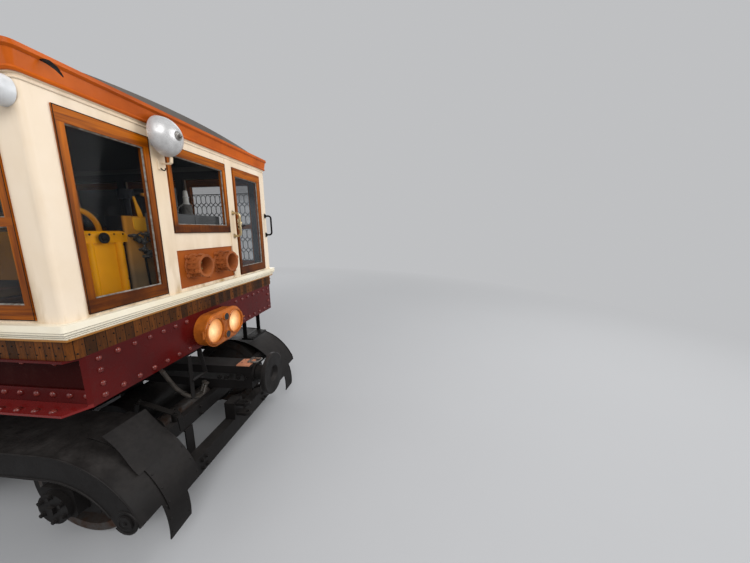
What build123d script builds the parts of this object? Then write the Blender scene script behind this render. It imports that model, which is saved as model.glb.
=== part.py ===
from build123d import *
import math
import os

os.makedirs("parts", exist_ok=True)

# Subway motor car with wooden body on a swan-neck riveted frame.
# Millimetres. X runs along the car, +X is its front end, +Y its left side, Z up from the
# wheel flanges' lowest point. The car is the same seen from either end, so each end's
# pieces are made once at the front and turned half round for the rear.

# Running gear
gauge = 1435
flange_depth = 25
wheel_radius = 340
wheel_width = 125
flange_width = 30
wheel_back = 680
axle_radius = 60
journal_radius = 45
journal_gap = 0.4
wheelbase = 1500
bogie_from_face = 1160
swivel_gap = 0.3
pin_gap = 0.5

# Body, heights above the rail
body_length = 10140
half_width = 1030
wall_thick = 80
saloon_half = 2560
frame_bottom = 1010
frame_top = 1285
low_frame_bottom = 210
low_frame_top = 450
planks_top = 1385
sill_top = 1470
wall_top = 2540
cornice_top = 2643
roof_rise = 75
roof_edge = 2625
roof_thick = 35
cab_floor = 1140
floor_thick = 30

# Mouldings, how far each stands out
sill_reach = 36
cornice_reach = 34
flange_reach = 12
foot_reach = 45
plate_thick = 12
web_thick = 10

# End face
post_depth = 100
post_width = 110
end_wall_thick = 50
sash_proud = 8
sash_depth = 40
glass_thick = 6
rail = flange_depth
face = body_length / 2
bogie_x = face - bogie_from_face
wall_in = half_width - wall_thick


def z(height):
    """Height above the rail to height above the flanges' lowest point."""
    return rail + height


def block(x0, x1, y0, y1, z0, z1):
    """Box between two corners."""
    size = (x1 - x0, y1 - y0, z1 - z0)
    return Pos((x0 + x1) / 2, (y0 + y1) / 2, (z0 + z1) / 2) * Box(*size)


def side_profile(outline, y0, y1):
    """Closed wire drawn in the XZ plane, made solid from y0 to y1."""
    sheet = Plane.XZ * make_face(outline)
    return Pos(0, y0, 0) * extrude(sheet, amount=y1 - y0, dir=(0, 1, 0))


def cross_profile(outline, x0, x1):
    """Closed wire drawn in the YZ plane, made solid from x0 to x1."""
    sheet = Plane.YZ * make_face(outline)
    return Pos(x0, 0, 0) * extrude(sheet, amount=x1 - x0, dir=(1, 0, 0))


def rod(start, end, radius):
    """Round bar between two points."""
    path = Vector(*end) - Vector(*start)
    plane = Plane(origin=start, z_dir=path)
    return extrude(plane * Circle(radius), amount=path.length)


def mirrored(shape):
    """The piece and its copy on the other side of the car's long centre plane."""
    return [shape, mirror(shape, about=Plane.XZ)]


def turned(shape):
    """The piece at the rear end, from the one at the front."""
    return Rot(0, 0, 180) * shape


def both_ends(shapes):
    shapes = shapes if isinstance(shapes, list) else [shapes]
    return shapes + [turned(shape) for shape in shapes]


def save(name, shapes):
    """Write one node: one solid, or like solids that stand apart."""
    shapes = shapes if isinstance(shapes, list) else [shapes]
    solids = []
    for shape in shapes:
        solids += shape.solids()
    whole = solids[0] if len(solids) == 1 else Compound(children=solids)
    whole.label = name
    export_step(whole, f"parts/{name}.step")


# Swan-neck girders

neck_width = 240
neck_past_saloon = 90
neck_x = saloon_half + neck_past_saloon
neck_radius = 170


def girder_outline(inset):
    """Side view of the girder, low between the bogies and high over them."""
    low, up = z(low_frame_bottom) + inset, z(low_frame_top) - inset
    high, top = z(frame_bottom) + inset, z(frame_top) - inset
    outer, inner = neck_x - inset, neck_x - neck_width + inset
    end = face - inset
    half = [(outer, low), (outer, high), (end, high), (end, top), (inner, top), (inner, up)]
    rear = [(-x, height) for x, height in reversed(half)]
    big, small = neck_radius, 12
    radii = [big, small, 2, 2, big, small * 5, small * 5, big, 2, 2, small, big]
    return FilletPolyline(*(half + rear), radius=radii, close=True)


flange_cut = 60
leg_height = 75


def make_girders():
    """Riveted channel each side: a web with its flanges turned outward."""
    reach = half_width + flange_reach
    web = wall_in + web_thick
    whole = side_profile(girder_outline(0), wall_in, reach)
    whole -= side_profile(girder_outline(plate_thick), web, reach + 1)
    low = z(frame_bottom) + plate_thick
    reach = half_width + foot_reach
    for side in (-1, 1):
        x0, x1 = sorted((side * (neck_x - plate_thick), side * face))
        whole += block(x0, x1, web, web + web_thick, low, low + leg_height)
        whole += block(x0, x1, web, reach, z(frame_bottom), low)
        corner = Polyline((side * (face - flange_cut), reach + 1), (side * (face + 1), reach + 1),
                          (side * (face + 1), web + web_thick), close=True)
        whole -= Pos(0, 0, low - leg_height) * extrude(make_face(corner), amount=z(frame_top))
    return mirrored(whole)


beam_y = 420
beam_width = 110
cross_width = 90
cross_depth = 100
frame_bays = 6
bolster_width = 320
pivot_radius = 165
pivot_drop = 110


def make_end_frame():
    """Ladder under the cab floor, with the bolster that rests on the bogie."""
    low, high = z(frame_bottom), z(frame_bottom) + cross_depth
    start, end = saloon_half, face - plate_thick
    half = beam_width / 2
    parts = [block(start, end, side - half, side + half, low, high) for side in (-beam_y, beam_y)]
    for place in (start, (start + bogie_x) / 2, (bogie_x + end) / 2, end - cross_width):
        parts.append(block(place, place + cross_width, -wall_in, wall_in, low, high))
    half = bolster_width / 2
    parts.append(block(bogie_x - half, bogie_x + half, -wall_in, wall_in, low, high))
    pivot = Pos(bogie_x, 0, low - pivot_drop / 2) * Cylinder(pivot_radius, pivot_drop)
    return Part() + parts + pivot


def make_centre_frame():
    """Ladder under the saloon floor."""
    high = z(low_frame_top) - floor_thick
    low = high - cross_depth
    end = neck_x - neck_width
    half = beam_width / 2
    parts = [block(-end, end, side - half, side + half, low, high) for side in (-beam_y, beam_y)]
    for index in range(frame_bays + 1):
        place = -end + cross_width / 2 + index * (2 * end - cross_width) / frame_bays
        parts.append(block(place - cross_width / 2, place + cross_width / 2,
                           -wall_in, wall_in, low, high))
    return Part() + parts


def make_end_plate():
    """Riveted plate across the end of the frame."""
    return block(face - plate_thick, face, -wall_in, wall_in, z(frame_bottom), z(frame_top))


plank_corner = 45


def make_plank_band():
    """Ends of the nailed planks that lie on the raised frame, round one end."""
    low, high = z(frame_top), z(planks_top)
    start = saloon_half
    outer = block(start, face, -half_width, half_width, low, high)
    corners = outer.edges().filter_by(Axis.Z).group_by(Axis.X)[-1]
    inner = block(start - 1, face - post_depth, -wall_in, wall_in, low - 1, high + 1)
    return fillet(corners, radius=plank_corner) - inner


# Walls with their windows

door_half = 600
door_top = 2350
sash_low = 1485
sash_high = 2460
window_gap = 90
window_from_door = 160
window_from_bulkhead = 60
window_past_bulkhead = 140
window_from_face = 140
driver_window = 770


def window_row(start, end, count):
    """Equal windows with posts between them, as pairs of x from and x to."""
    width = (end - start - (count - 1) * window_gap) / count
    return [(start + index * (width + window_gap), start + index * (width + window_gap) + width)
            for index in range(count)]


driver_end = face - window_from_face
driver_start = driver_end - driver_window
# x from, x to, of the window openings in the half of each side wall that is ahead of the middle
side_windows = window_row(door_half + window_from_door, saloon_half - window_from_bulkhead, 2)
side_windows += window_row(saloon_half + window_past_bulkhead, driver_start - window_gap, 2)
side_windows.append((driver_start, driver_end))


def ring(reach_x, reach_y, hole_x, hole_y, z0, z1):
    """Band round the whole car."""
    outer = block(-reach_x, reach_x, -reach_y, reach_y, z0, z1)
    return outer - block(-hole_x, hole_x, -hole_y, hole_y, z0 - 1, z1 + 1)


# share of the sill's height up to the step's top, share of its reach
sill_steps = [(0.20, 0.34), (0.42, 0.52), (0.60, 0.80), (1.0, 1.0)]


def make_sill():
    """Stepped moulding all round, under the windows, open at the saloon doors."""
    hole_x, hole_y = face - post_depth, wall_in
    low, height = z(planks_top), sill_top - planks_top
    moulding = Part()
    for top_share, reach_share in sill_steps:
        high, reach = z(planks_top) + top_share * height, reach_share * sill_reach
        moulding += ring(face + reach, half_width + reach, hole_x, hole_y, low, high)
        low = high
    corners = moulding.edges().filter_by(Axis.Z).group_by(lambda edge: round(abs(edge.center().Y)))[-1]
    moulding = fillet(corners, radius=0.4 * sill_reach)
    wall = block(-saloon_half, saloon_half, -half_width, half_width, 0, z(wall_top))
    doorway = block(-door_half, door_half, -2 * half_width, 2 * half_width, 0, z(wall_top))
    return moulding - wall - doorway


def make_side_wall(side):
    """Wall of one side: down to the low girder at the saloon, to the sill at the cabs."""
    y0, y1 = sorted((side * wall_in, side * half_width))
    saloon = block(-saloon_half, saloon_half, y0, y1, z(low_frame_top), z(wall_top))
    cabs = block(-face + post_depth, face - post_depth, y0, y1, z(sill_top), z(wall_top))
    wall = saloon + cabs - side_profile(girder_outline(0), y0 - 5, y1 + 5)
    cuts = [block(-door_half, door_half, y0 - 5, y1 + 5, 0, z(door_top))]
    for x0, x1 in side_windows:
        for low, high in ((x0, x1), (-x1, -x0)):
            cuts.append(block(low, high, y0 - 5, y1 + 5, z(sash_low), z(sash_high)))
    return wall - cuts


# y from, y to, z from, z to, of the openings in the end wall
end_openings = {
    "window": (-920, -430, 1485, 2460),
    "middle window": (-310, 320, 1880, 2460),
    "panel": (-315, 330, 1490, 1760),
    "door": (425, 910, 1478, 2460),
}


def make_end_wall():
    """Cream end wall with its corner posts, window, panel and door openings."""
    low, high = z(sill_top), z(wall_top)
    wall = block(face - end_wall_thick, face, -half_width, half_width, low, high)
    for side in (-1, 1):
        y0, y1 = sorted((side * (half_width - post_width), side * half_width))
        wall += block(face - post_depth, face, y0, y1, low, high)
    corners = wall.edges().filter_by(Axis.Z).group_by(Axis.X)[-1]
    wall = fillet(corners, radius=25)
    for y0, y1, z0, z1 in end_openings.values():
        wall -= block(face - post_depth - 5, face + 5, y0, y1, z(z0), z(z1))
    return wall


def sash(x0, x1, z0, z1, bars, mid=None):
    """Flat window frame in the XZ plane, 1 thick, as width and height with a middle rail."""
    stile, foot, head = bars
    frame = Pos((x0 + x1) / 2, (z0 + z1) / 2) * Rectangle(x1 - x0, z1 - z0)
    holes = [(z0 + foot, z1 - head)] if mid is None else [(z0 + foot, mid - stile / 2),
                                                           (mid + stile / 2, z1 - head)]
    panes = []
    for low, high in holes:
        width, height = x1 - x0 - 2 * stile, high - low
        panes.append(Pos((x0 + x1) / 2, (low + high) / 2) * Rectangle(width, height))
    return frame, panes


sash_stile = 40
sash_foot = 72
sash_head = 70
sash_mid = 1940


def make_side_sashes():
    """Varnished frames and their panes in the side walls."""
    frames, panes = [], []
    for x0, x1 in side_windows:
        for low, high in ((x0, x1), (-x1, -x0)):
            flat, holes = sash(low, high, z(sash_low), z(sash_high),
                               (sash_stile, sash_foot, sash_head), z(sash_mid))
            for side in (-1, 1):
                outer = side * (half_width + sash_proud)
                inner = outer - side * sash_depth
                y0, y1 = sorted((outer, inner))
                middle = (y0 + y1) / 2
                frame = side_profile(flat, y0, y1)
                for hole in holes:
                    frame -= side_profile(hole, y0 - 5, y1 + 5)
                    panes.append(side_profile(hole, middle - glass_thick / 2,
                                              middle + glass_thick / 2))
                frames.append(frame)
    return frames, panes


def make_end_sashes():
    """Varnished frames and panes of the end wall's two fixed windows."""
    frames, panes = [], []
    # opening, stile, foot, head
    for name, stile, foot, head in (("window", 40, 72, 70), ("middle window", 36, 60, 60)):
        y0, y1, z0, z1 = end_openings[name]
        flat, holes = sash(y0, y1, z(z0), z(z1), (stile, foot, head))
        outer = face + sash_proud
        middle = outer - sash_depth / 2
        frame = cross_profile(flat, outer - sash_depth, outer)
        for hole in holes:
            frame -= cross_profile(hole, outer - sash_depth - 5, outer + 5)
            panes.append(cross_profile(hole, middle - glass_thick / 2, middle + glass_thick / 2))
        frames.append(frame)
    return frames, panes


panel_inset = 8
socket_radius = 85
socket_bore = 51
socket_length = 110
socket_y = 160
socket_z = 1640


def make_end_panel():
    """Brown panel between the posts."""
    y0, y1, z0, z1 = end_openings["panel"]
    return block(face - end_wall_thick, face - panel_inset, y0, y1, z(z0), z(z1))


def make_sockets():
    """Ribbed cast cable sockets, open ahead."""
    # share of the length from the panel, share of the radius, of its outside
    steps = [(0, 1.0), (0.11, 1.0), (0.11, 0.86), (0.36, 0.86), (0.36, 0.96), (0.51, 0.96),
             (0.51, 0.86), (0.73, 0.86), (0.73, 1.0), (1, 1.0)]
    points = [(0, socket_bore)] + [(x * socket_length, r * socket_radius) for x, r in steps]
    points.append((socket_length, socket_bore))
    body = revolve(Plane.XZ * make_face(Polyline(*points, close=True)), axis=Axis.X)
    return [Pos(face - panel_inset, side * socket_y, z(socket_z)) * body for side in (-1, 1)]


# Cab door, hung at its outer stile and opening inward

leaf_thick = 35
leaf_gap = 5
latch_gap = 10
latch_stile = 25
hinge_stile = 55
knuckle_radius = 8
knuckle_height = 40
knuckle_heights = (1650, 2290)
hinge_x = face - end_wall_thick - knuckle_radius
hinge_y = end_openings["door"][1] - leaf_gap / 2


def make_fixed_knuckles():
    """Halves of the cab door's hinges that stand on the corner post."""
    parts = []
    post = half_width - post_width
    for height in knuckle_heights:
        for side in (-1, 1):
            middle = z(height) + side * (knuckle_height + swivel_gap)
            low, high = middle - knuckle_height / 2, middle + knuckle_height / 2
            parts.append(rod((hinge_x, hinge_y, low), (hinge_x, hinge_y, high), knuckle_radius))
            parts.append(block(hinge_x - 5, hinge_x + 5, hinge_y, post, low, high))
    return parts


def make_cab_door():
    """Leaf with its hinge knuckles, and pane, of the front cab door."""
    y0, y1, z0, z1 = end_openings["door"]
    y0, y1, z0, z1 = y0 + latch_gap, y1 - leaf_gap, z(z0) + leaf_gap, z(z1) - leaf_gap
    outer = face + sash_proud
    inner = outer - leaf_thick
    glass = (y0 + latch_stile, y1 - hinge_stile, z0 + sash_foot, z1 - sash_head)
    leaf = block(outer - leaf_thick, outer, y0, y1, z0, z1)
    leaf -= block(inner - 5, outer + 5, *glass)
    for height in knuckle_heights:
        low, high = z(height) - knuckle_height / 2, z(height) + knuckle_height / 2
        leaf += rod((hinge_x, hinge_y, low), (hinge_x, hinge_y, high), knuckle_radius)
        leaf += block(hinge_x, inner, y1 - 10, y1 - 3, low, high)
    middle = outer - leaf_thick / 2
    pane = block(middle - glass_thick / 2, middle + glass_thick / 2, *glass)
    return leaf, pane


# Roof and cornice


def arched(half, edge, rise, foot):
    """Cross-section under an arch from edge to edge, down to foot."""
    arc = ThreePointArc((-half, edge), (0, edge + rise), (half, edge))
    return arc + Polyline((half, edge), (half, foot), (-half, foot), (-half, edge))


def make_roof():
    """Arched roof on the walls' top plates, closed at both ends."""
    outer = cross_profile(arched(half_width, z(roof_edge), roof_rise, z(wall_top)), -face, face)
    inside = arched(wall_in, z(roof_edge) - roof_thick, roof_rise, z(wall_top) - 5)
    end = face - end_wall_thick
    return outer - cross_profile(inside, -end, end)


cornice_board = 22
cornice_corner = 6
# shares of the cornice's reach at the foot and the head of its leaning board
cornice_foot = 0.3
cornice_lean = 0.75


def make_cornice():
    """Leaning red-brown board round the roof's edge, with a square board on top of it."""
    low, high = z(wall_top), z(cornice_top)

    def outline(share, height):
        reach = share * cornice_reach
        return Pos(0, 0, height) * RectangleRounded(2 * (face + reach), 2 * (half_width + reach),
                                                    cornice_corner + reach)

    board = high - cornice_board
    solid = loft([outline(cornice_foot, low), outline(cornice_lean, board)])
    solid += extrude(outline(1, board), amount=cornice_board)
    return solid - block(-face, face, -half_width, half_width, low - 1, high + 1)


# Inside

bulkhead_thick = 40
passage_half = 300
light_start = 400
light_end = 880
light_low = 1500


def make_bulkhead():
    """Partition between saloon and cab, with a doorway and two lights."""
    x1 = saloon_half
    x0 = x1 - bulkhead_thick
    outline = arched(wall_in, z(roof_edge) - roof_thick, roof_rise, z(low_frame_top))
    wall = cross_profile(outline, x0, x1)
    wall -= block(x0 - 5, x1 + 5, -passage_half, passage_half, z(cab_floor), z(door_top))
    for y0, y1 in ((-light_end, -light_start), (light_start, light_end)):
        wall -= block(x0 - 5, x1 + 5, y0, y1, z(light_low), z(door_top))
    return wall


bench_depth = 450
bench_height = 430
bench_gap = 130
bench_back = 470
bench_from_door = 250
bench_from_bulkhead = 80
seat_thick = 40
leg_inset = 60


def make_benches():
    """Four long benches: seat, back and legs drawn as one side view each."""
    floor = z(low_frame_top)
    back = wall_in - bench_gap
    front = back - bench_depth
    seat = floor + bench_height
    outline = Polyline((front + leg_inset, floor), (back, floor), (back, seat + bench_back),
                       (back - 0.8 * seat_thick, seat + bench_back), (back - 2 * seat_thick, seat),
                       (front, seat + 0.3 * seat_thick), (front, seat - seat_thick),
                       (front + leg_inset, seat - 1.5 * seat_thick), close=True)
    benches = []
    start, end = door_half + bench_from_door, saloon_half - bench_from_bulkhead
    for x0, x1 in ((start, end), (-end, -start)):
        benches += mirrored(cross_profile(outline, x0, x1))
    return benches


seat_from_face = 740
seat_depth = 430
seat_width = 450
seat_y = -655
seat_height = 380
pad_thick = 70
pad_reach = 10
seat_back = 450
back_thick = 100
back_lean = 40


def make_cab_seat():
    """Driver's seat with a padded back, beside the side window."""
    floor = z(cab_floor)
    x1 = face - seat_from_face
    x0 = x1 - seat_depth
    y0, y1 = seat_y - seat_width / 2, seat_y + seat_width / 2
    low = floor + seat_height
    box = block(x0, x1, y0, y1, floor, low)
    pad = block(x0 - pad_reach, x1 + pad_reach, y0 - pad_reach, y1 + pad_reach, low, low + pad_thick)
    back = block(x0 - back_lean, x0 - back_lean + back_thick, y0 - pad_reach, y1 + pad_reach,
                 low + pad_thick, low + pad_thick + seat_back)
    pad = fillet(pad.edges(), radius=0.3 * pad_thick)
    back = fillet(back.edges().filter_by(Axis.Y), radius=0.4 * back_thick)
    return box + pad + back


controller_from_face = 210
controller_depth = 260
controller_width = 320
controller_y = -640
controller_height = 760
lid_thick = 70
lid_reach = 12
rib_radius = 24
arch_radius = 125
arch_tube = 15
desk_length = 420
desk_width = 360
desk_depth = 265


def make_controller():
    """Controller: ribbed case, lid with an arched handle, and the desk box behind it."""
    floor = z(cab_floor)
    x = face - controller_from_face - controller_depth / 2
    y, top = controller_y, floor + controller_height
    deep, wide = controller_depth / 2, controller_width / 2
    case = block(x - deep, x + deep, y - wide, y + wide, floor, top - lid_thick)
    case = fillet(case.edges().filter_by(Axis.Z), radius=rib_radius)
    ribs = [rod((x + deep, y + share * wide, floor), (x + deep, y + share * wide, top - lid_thick),
                rib_radius) for share in (-0.75, -0.35, 0.75)]
    lid = block(x - deep - lid_reach, x + deep + lid_reach, y - wide - lid_reach, y + wide + lid_reach,
                top - lid_thick, top)
    lid = fillet(lid.edges().group_by(Axis.Z)[-1], radius=0.4 * lid_thick)
    foot = top - lid_thick / 2
    outer = ThreePointArc((y - arch_radius, foot), (y, foot + 1.3 * arch_radius), (y + arch_radius, foot))
    bend = Plane(origin=(x, y - arch_radius, foot), z_dir=(0, 0, 1)) * Circle(arch_tube)
    arch = sweep(bend, path=Plane.YZ.offset(x) * outer)
    desk = block(x - deep - desk_length, x - deep, y - wide, y - wide + desk_width, top - desk_depth, top)
    return case + ribs + lid + arch + desk


stand_from_face = 220
stand_depth = 150
stand_width = 250
stand_y = -325
stand_height = 855
pipe_radius = 18
pipe_height = 120
valve_radius = 45
valve_height = 60
lever_reach = 140
lever_radius = 11


def make_brake_stand():
    """Air brake stand: box, pipe and valve handle."""
    floor = z(cab_floor)
    x1 = face - stand_from_face
    x0 = x1 - stand_depth
    half = stand_width / 2
    top = floor + stand_height
    case = block(x0, x1, stand_y - half, stand_y + half, floor, top)
    case = fillet(case.edges().filter_by(Axis.Z), radius=0.15 * stand_depth)
    x = x0 + 0.4 * stand_depth
    pipe_top = top + pipe_height
    pipe = rod((x, stand_y, top), (x, stand_y, pipe_top), pipe_radius)
    valve = rod((x, stand_y, pipe_top), (x, stand_y, pipe_top + valve_height), valve_radius)
    level = pipe_top + valve_height / 2
    lever = rod((x, stand_y, level), (x + 0.8 * lever_reach, stand_y + 0.6 * lever_reach, level),
                lever_radius)
    return case + pipe + valve + lever


# Fittings outside

lamp_z = 1130
lamp_y = -15
lamp_length = 475
lamp_height = 250
lamp_depth = 105
lens_radius = 95
lens_pitch = 260
lamp_wall = 30
lens_thick = 25
lens_inset = 10
lip_width = 12
knob_radius = 30
knob_pitch = 150


def make_headlamp():
    """Double lamp housing: a long rounded case with two open barrels."""
    face_plane = Plane(origin=(face, lamp_y, z(lamp_z)), x_dir=(0, 1, 0), z_dir=(1, 0, 0))
    case = extrude(face_plane * SlotOverall(lamp_length, lamp_height), amount=lamp_depth)
    rim = fillet(case.edges().group_by(Axis.X)[-1], radius=0.5 * lamp_wall)
    lip = face_plane * Pos(0, 0, lamp_depth - 2 * lip_width)
    rim += extrude(lip * SlotOverall(lamp_length + lip_width, lamp_height + lip_width), amount=lip_width)
    for side in (-1, 1):
        rim += extrude(face_plane * Pos(0, side * knob_pitch / 2, 0) * Circle(knob_radius),
                       amount=lamp_depth + lip_width)
    parts = []
    for side in (-1, 1):
        place = face_plane * Pos(side * lens_pitch / 2, 0, 0)
        rim -= extrude(place * Pos(0, 0, lamp_wall) * Circle(lens_radius), amount=lamp_depth)
        lens_back = lamp_depth - lens_inset - lens_thick
        parts.append(extrude(place * Pos(0, 0, lens_back) * Circle(lens_radius), amount=lens_thick))
    return rim, parts


bell_radius = 118
bell_depth = 102
bell_wall = 8
bell_stand = 60
bell_core = 18
bell_y = -370
bell_z = 2475
foot_half = 45


def make_bell():
    """Gong on its bracket in front of the post."""
    deep, wide, wall = bell_depth, bell_radius, bell_wall
    outer = ThreePointArc((0, wide), (0.66 * deep, 0.74 * wide), (deep, bell_core))
    inner = ThreePointArc((deep - wall, bell_core), (0.66 * deep - wall, 0.74 * wide - wall),
                          (0, wide - wall))
    shell = outer + Line((deep, bell_core), (deep - wall, bell_core)) + inner
    shell += Line((0, wide - wall), (0, wide))
    dome = revolve(Plane.XZ * make_face(shell), axis=Axis.X)
    core = rod((-bell_stand, 0, 0), (deep + bell_wall, 0, 0), bell_core)
    foot = block(-bell_stand, wall - bell_stand, -foot_half, foot_half, -1.3 * foot_half, foot_half)
    return Pos(face + bell_stand, bell_y, z(bell_z)) * (dome + core + foot)


handle_reach = 70
handle_radius = 11
handle_pad = 8
handle_low = 1848
handle_high = 2052
handle_places = (376, 983)


def make_handle(y):
    """Upright grab handle: two feet and a bar."""
    low, high = z(handle_low), z(handle_high)
    bar = rod((face + handle_reach, y, low), (face + handle_reach, y, high), handle_radius)
    parts = [bar]
    for height in (low + handle_radius, high - handle_radius):
        parts.append(rod((face, y, height), (face + handle_reach, y, height), handle_radius))
        parts.append(rod((face, y, height), (face + handle_pad, y, height), 2 * handle_radius))
    return Part() + parts


step_z = 790
step_y = 700
step_width = 280
step_depth = 125
step_thick = 20
strap_width = 40
strap_thick = 10


def make_cab_step():
    """Step below the cab door on two straps from the frame."""
    x1 = face - plate_thick
    x0 = x1 - step_depth
    y0, y1 = step_y - step_width / 2, step_y + step_width / 2
    tread = block(x0, x1, y0, y1, z(step_z) - step_thick, z(step_z))
    straps = [block(x0 + step_thick, x0 + step_thick + strap_width, side, side + strap_thick,
                    z(step_z), z(frame_bottom)) for side in (y0, y1 - strap_thick)]
    return Part() + tread + straps


marker_z = 2465
marker_from_face = 60
marker_radius = 62
marker_reach = 60
marker_lens = 12


def make_corner_lamp():
    """Round marker lamp on the side wall beside the corner post."""
    x, height = face - marker_from_face, z(marker_z)
    tip = half_width + marker_reach
    body = rod((x, -half_width, height), (x, -tip, height), marker_radius)
    return body + rod((x, -tip, height), (x, -tip - marker_lens, height), 0.8 * marker_radius)


# Current collectors on the roof

collector_from_face = 1770
collector_x = face - collector_from_face
collector_reach = 620
collector_radius = 15
collector_height = 45
collector_slope = 30
shaft_half = 620
bow_y = 430
bow_half = 150
bow_radius = 11
shoe_half = 170
shoe_radius = 20
bearing_half = 45
bearing_width = 60
bearing_y = 520


def make_collector():
    """Two bows on one shaft, each with its contact shoe, laid low over the roof."""
    low = z(roof_edge) + roof_rise + collector_height
    high = low + collector_slope
    far = collector_x + collector_reach
    bow = Part() + rod((collector_x, -shaft_half, low), (collector_x, shaft_half, low), collector_radius)
    for side in (-bow_y, bow_y):
        for offset in (-bow_half, bow_half):
            bow += rod((collector_x, side + offset, low), (far, side + offset * 0.8, high), bow_radius)
        bow += rod((far, side - shoe_half, high), (far, side + shoe_half, high), shoe_radius)
    return bow


def make_collector_base(roof):
    """Bearing blocks that carry the shaft, scribed to the roof."""
    height = z(roof_edge) + roof_rise + collector_height
    half = bearing_width / 2
    blocks = []
    for side in (-bearing_y, 0, bearing_y):
        foot = block(collector_x - bearing_half, collector_x + bearing_half, side - half, side + half,
                     z(roof_edge), height + 2 * collector_radius)
        foot = (foot - roof).solids().sort_by(Axis.Z)[-1]
        bore = rod((collector_x, side - bearing_width, height), (collector_x, side + bearing_width, height),
                   collector_radius + pin_gap)
        blocks.append(foot - bore)
    return blocks


# Saloon sliding doors

door_travel = 1150
door_y = 45
door_leaf_half = 640
door_lap = 50
door_stile = 90
door_light_low = 1300
door_rail_thick = 55
door_rail_height = 40


def make_saloon_door(side):
    """Sliding leaf inside the wall, with its pane."""
    y0, y1 = sorted((side * (wall_in - door_y), side * (wall_in - door_y + leaf_thick)))
    low, high = z(low_frame_top) + leaf_gap, z(door_top) + door_lap
    leaf = block(-door_leaf_half, door_leaf_half, y0, y1, low, high)
    half = door_leaf_half - door_stile
    light = (-half, half, z(door_light_low), high - door_stile - door_lap)
    leaf -= block(light[0], light[1], y0 - 5, y1 + 5, light[2], light[3])
    middle = (y0 + y1) / 2
    pane = block(light[0], light[1], middle - glass_thick / 2, middle + glass_thick / 2, light[2], light[3])
    return leaf, pane


def make_door_rail(side):
    """Rail over the doorway that the leaf hangs from."""
    y0, y1 = sorted((side * (wall_in - door_rail_thick), side * wall_in))
    low = z(door_top) + door_lap + swivel_gap
    x0, x1 = sorted((side * door_leaf_half, -side * (door_leaf_half + door_travel)))
    return block(x0, x1, y0, y1, low, low + door_rail_height)


# Bogie, drawn round its pivot and then put in its place

side_frame_y = 845
side_frame_thick = 30
frame_plate_top = 700
frame_shoulder = 1000
frame_nose = 610
rear_cut = 60
pedestal_half = 180
pedestal_flare = 20
pedestal_depth = 110
pedestal_tie = 32
pedestal_top = 545
box_half = 115
box_play = 2
box_in = 822
box_out = 940
box_below = 78
box_above = 110
box_round = 30
cover_radius = 98
cover_thick = 30
nut_side = 40
nut_thick = 16
spring_half = 60
spring_width = 50
spring_in = 835
fender_x = 850
fender_z = 190
fender_radius = 545
fender_sheet = 8
fender_in = 640
skirt_depth = 135
skirt_thick = 10
boss_pin = 45
stay_width = 50
stay_places = (-700, 0, 640)
bogie_rear = -1000
headstock_x = 1130
headstock_thick = 50
headstock_low = 500
headstock_height = 100
transom_x = 250
transom_width = 100
transom_low = 520
transom_top = 640
bolster_half = 150
bolster_reach = 620
bolster_top = 860


def make_wheelset(x):
    """Axle and its two wheels as one turned piece."""
    flange = wheel_radius + flange_depth
    back, face_y = wheel_back, wheel_back + wheel_width
    profile = [
        (0, 0), (axle_radius, 0), (axle_radius, back - 20), (105, back - 20), (105, back + 5),
        (wheel_radius - 60, back + 30), (wheel_radius - 55, back), (flange, back),
        (flange, back + flange_width * 0.6), (wheel_radius + 2, back + flange_width),
        (wheel_radius - 2, face_y), (wheel_radius - 55, face_y), (wheel_radius - 60, back + 60),
        (110, back + 50), (105, face_y - 10), (journal_radius, face_y - 10),
        (journal_radius, journal_end), (0, journal_end),
    ]
    half = revolve(Plane.XY * make_face(Polyline(*profile, close=True)), axis=Axis.Y)
    whole = half + mirror(half, about=Plane.XZ)
    return Pos(x, 0, z(wheel_radius)) * whole


journal_end = 930


def make_side_frame():
    """Plate frame of one side, with pedestals round its two axleboxes."""
    axle = wheelbase / 2
    top, foot = z(frame_plate_top), z(wheel_radius) - pedestal_depth
    end = headstock_x + headstock_thick
    nose, low, belly = z(frame_nose), z(headstock_low), z(transom_low)
    outer, inner = pedestal_half + pedestal_flare, pedestal_half
    half = [(frame_shoulder, top), (end, nose), (end, low), (axle + outer, low), (axle + inner, foot),
            (axle - inner, foot), (axle - outer, belly)]
    short = end - rear_cut
    rear = [(-x, height) for x, height in reversed(half[3:])]
    rear += [(-short, low), (-short, nose), (-frame_shoulder, top)]
    outline = Polyline(*(half + rear), close=True)
    y0 = side_frame_y
    plate = side_profile(outline, y0, y0 + side_frame_thick)
    wide = box_half + box_play
    for place in (-axle, axle):
        plate -= block(place - wide, place + wide, y0 - 5, y0 + 2 * side_frame_thick,
                       foot + pedestal_tie, z(pedestal_top))
    return plate


shoe_gap = 7
shoe_thick = 45
shoe_angle = 22
shoe_y0 = 722
shoe_y1 = 795
brake_strap = 16


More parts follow.
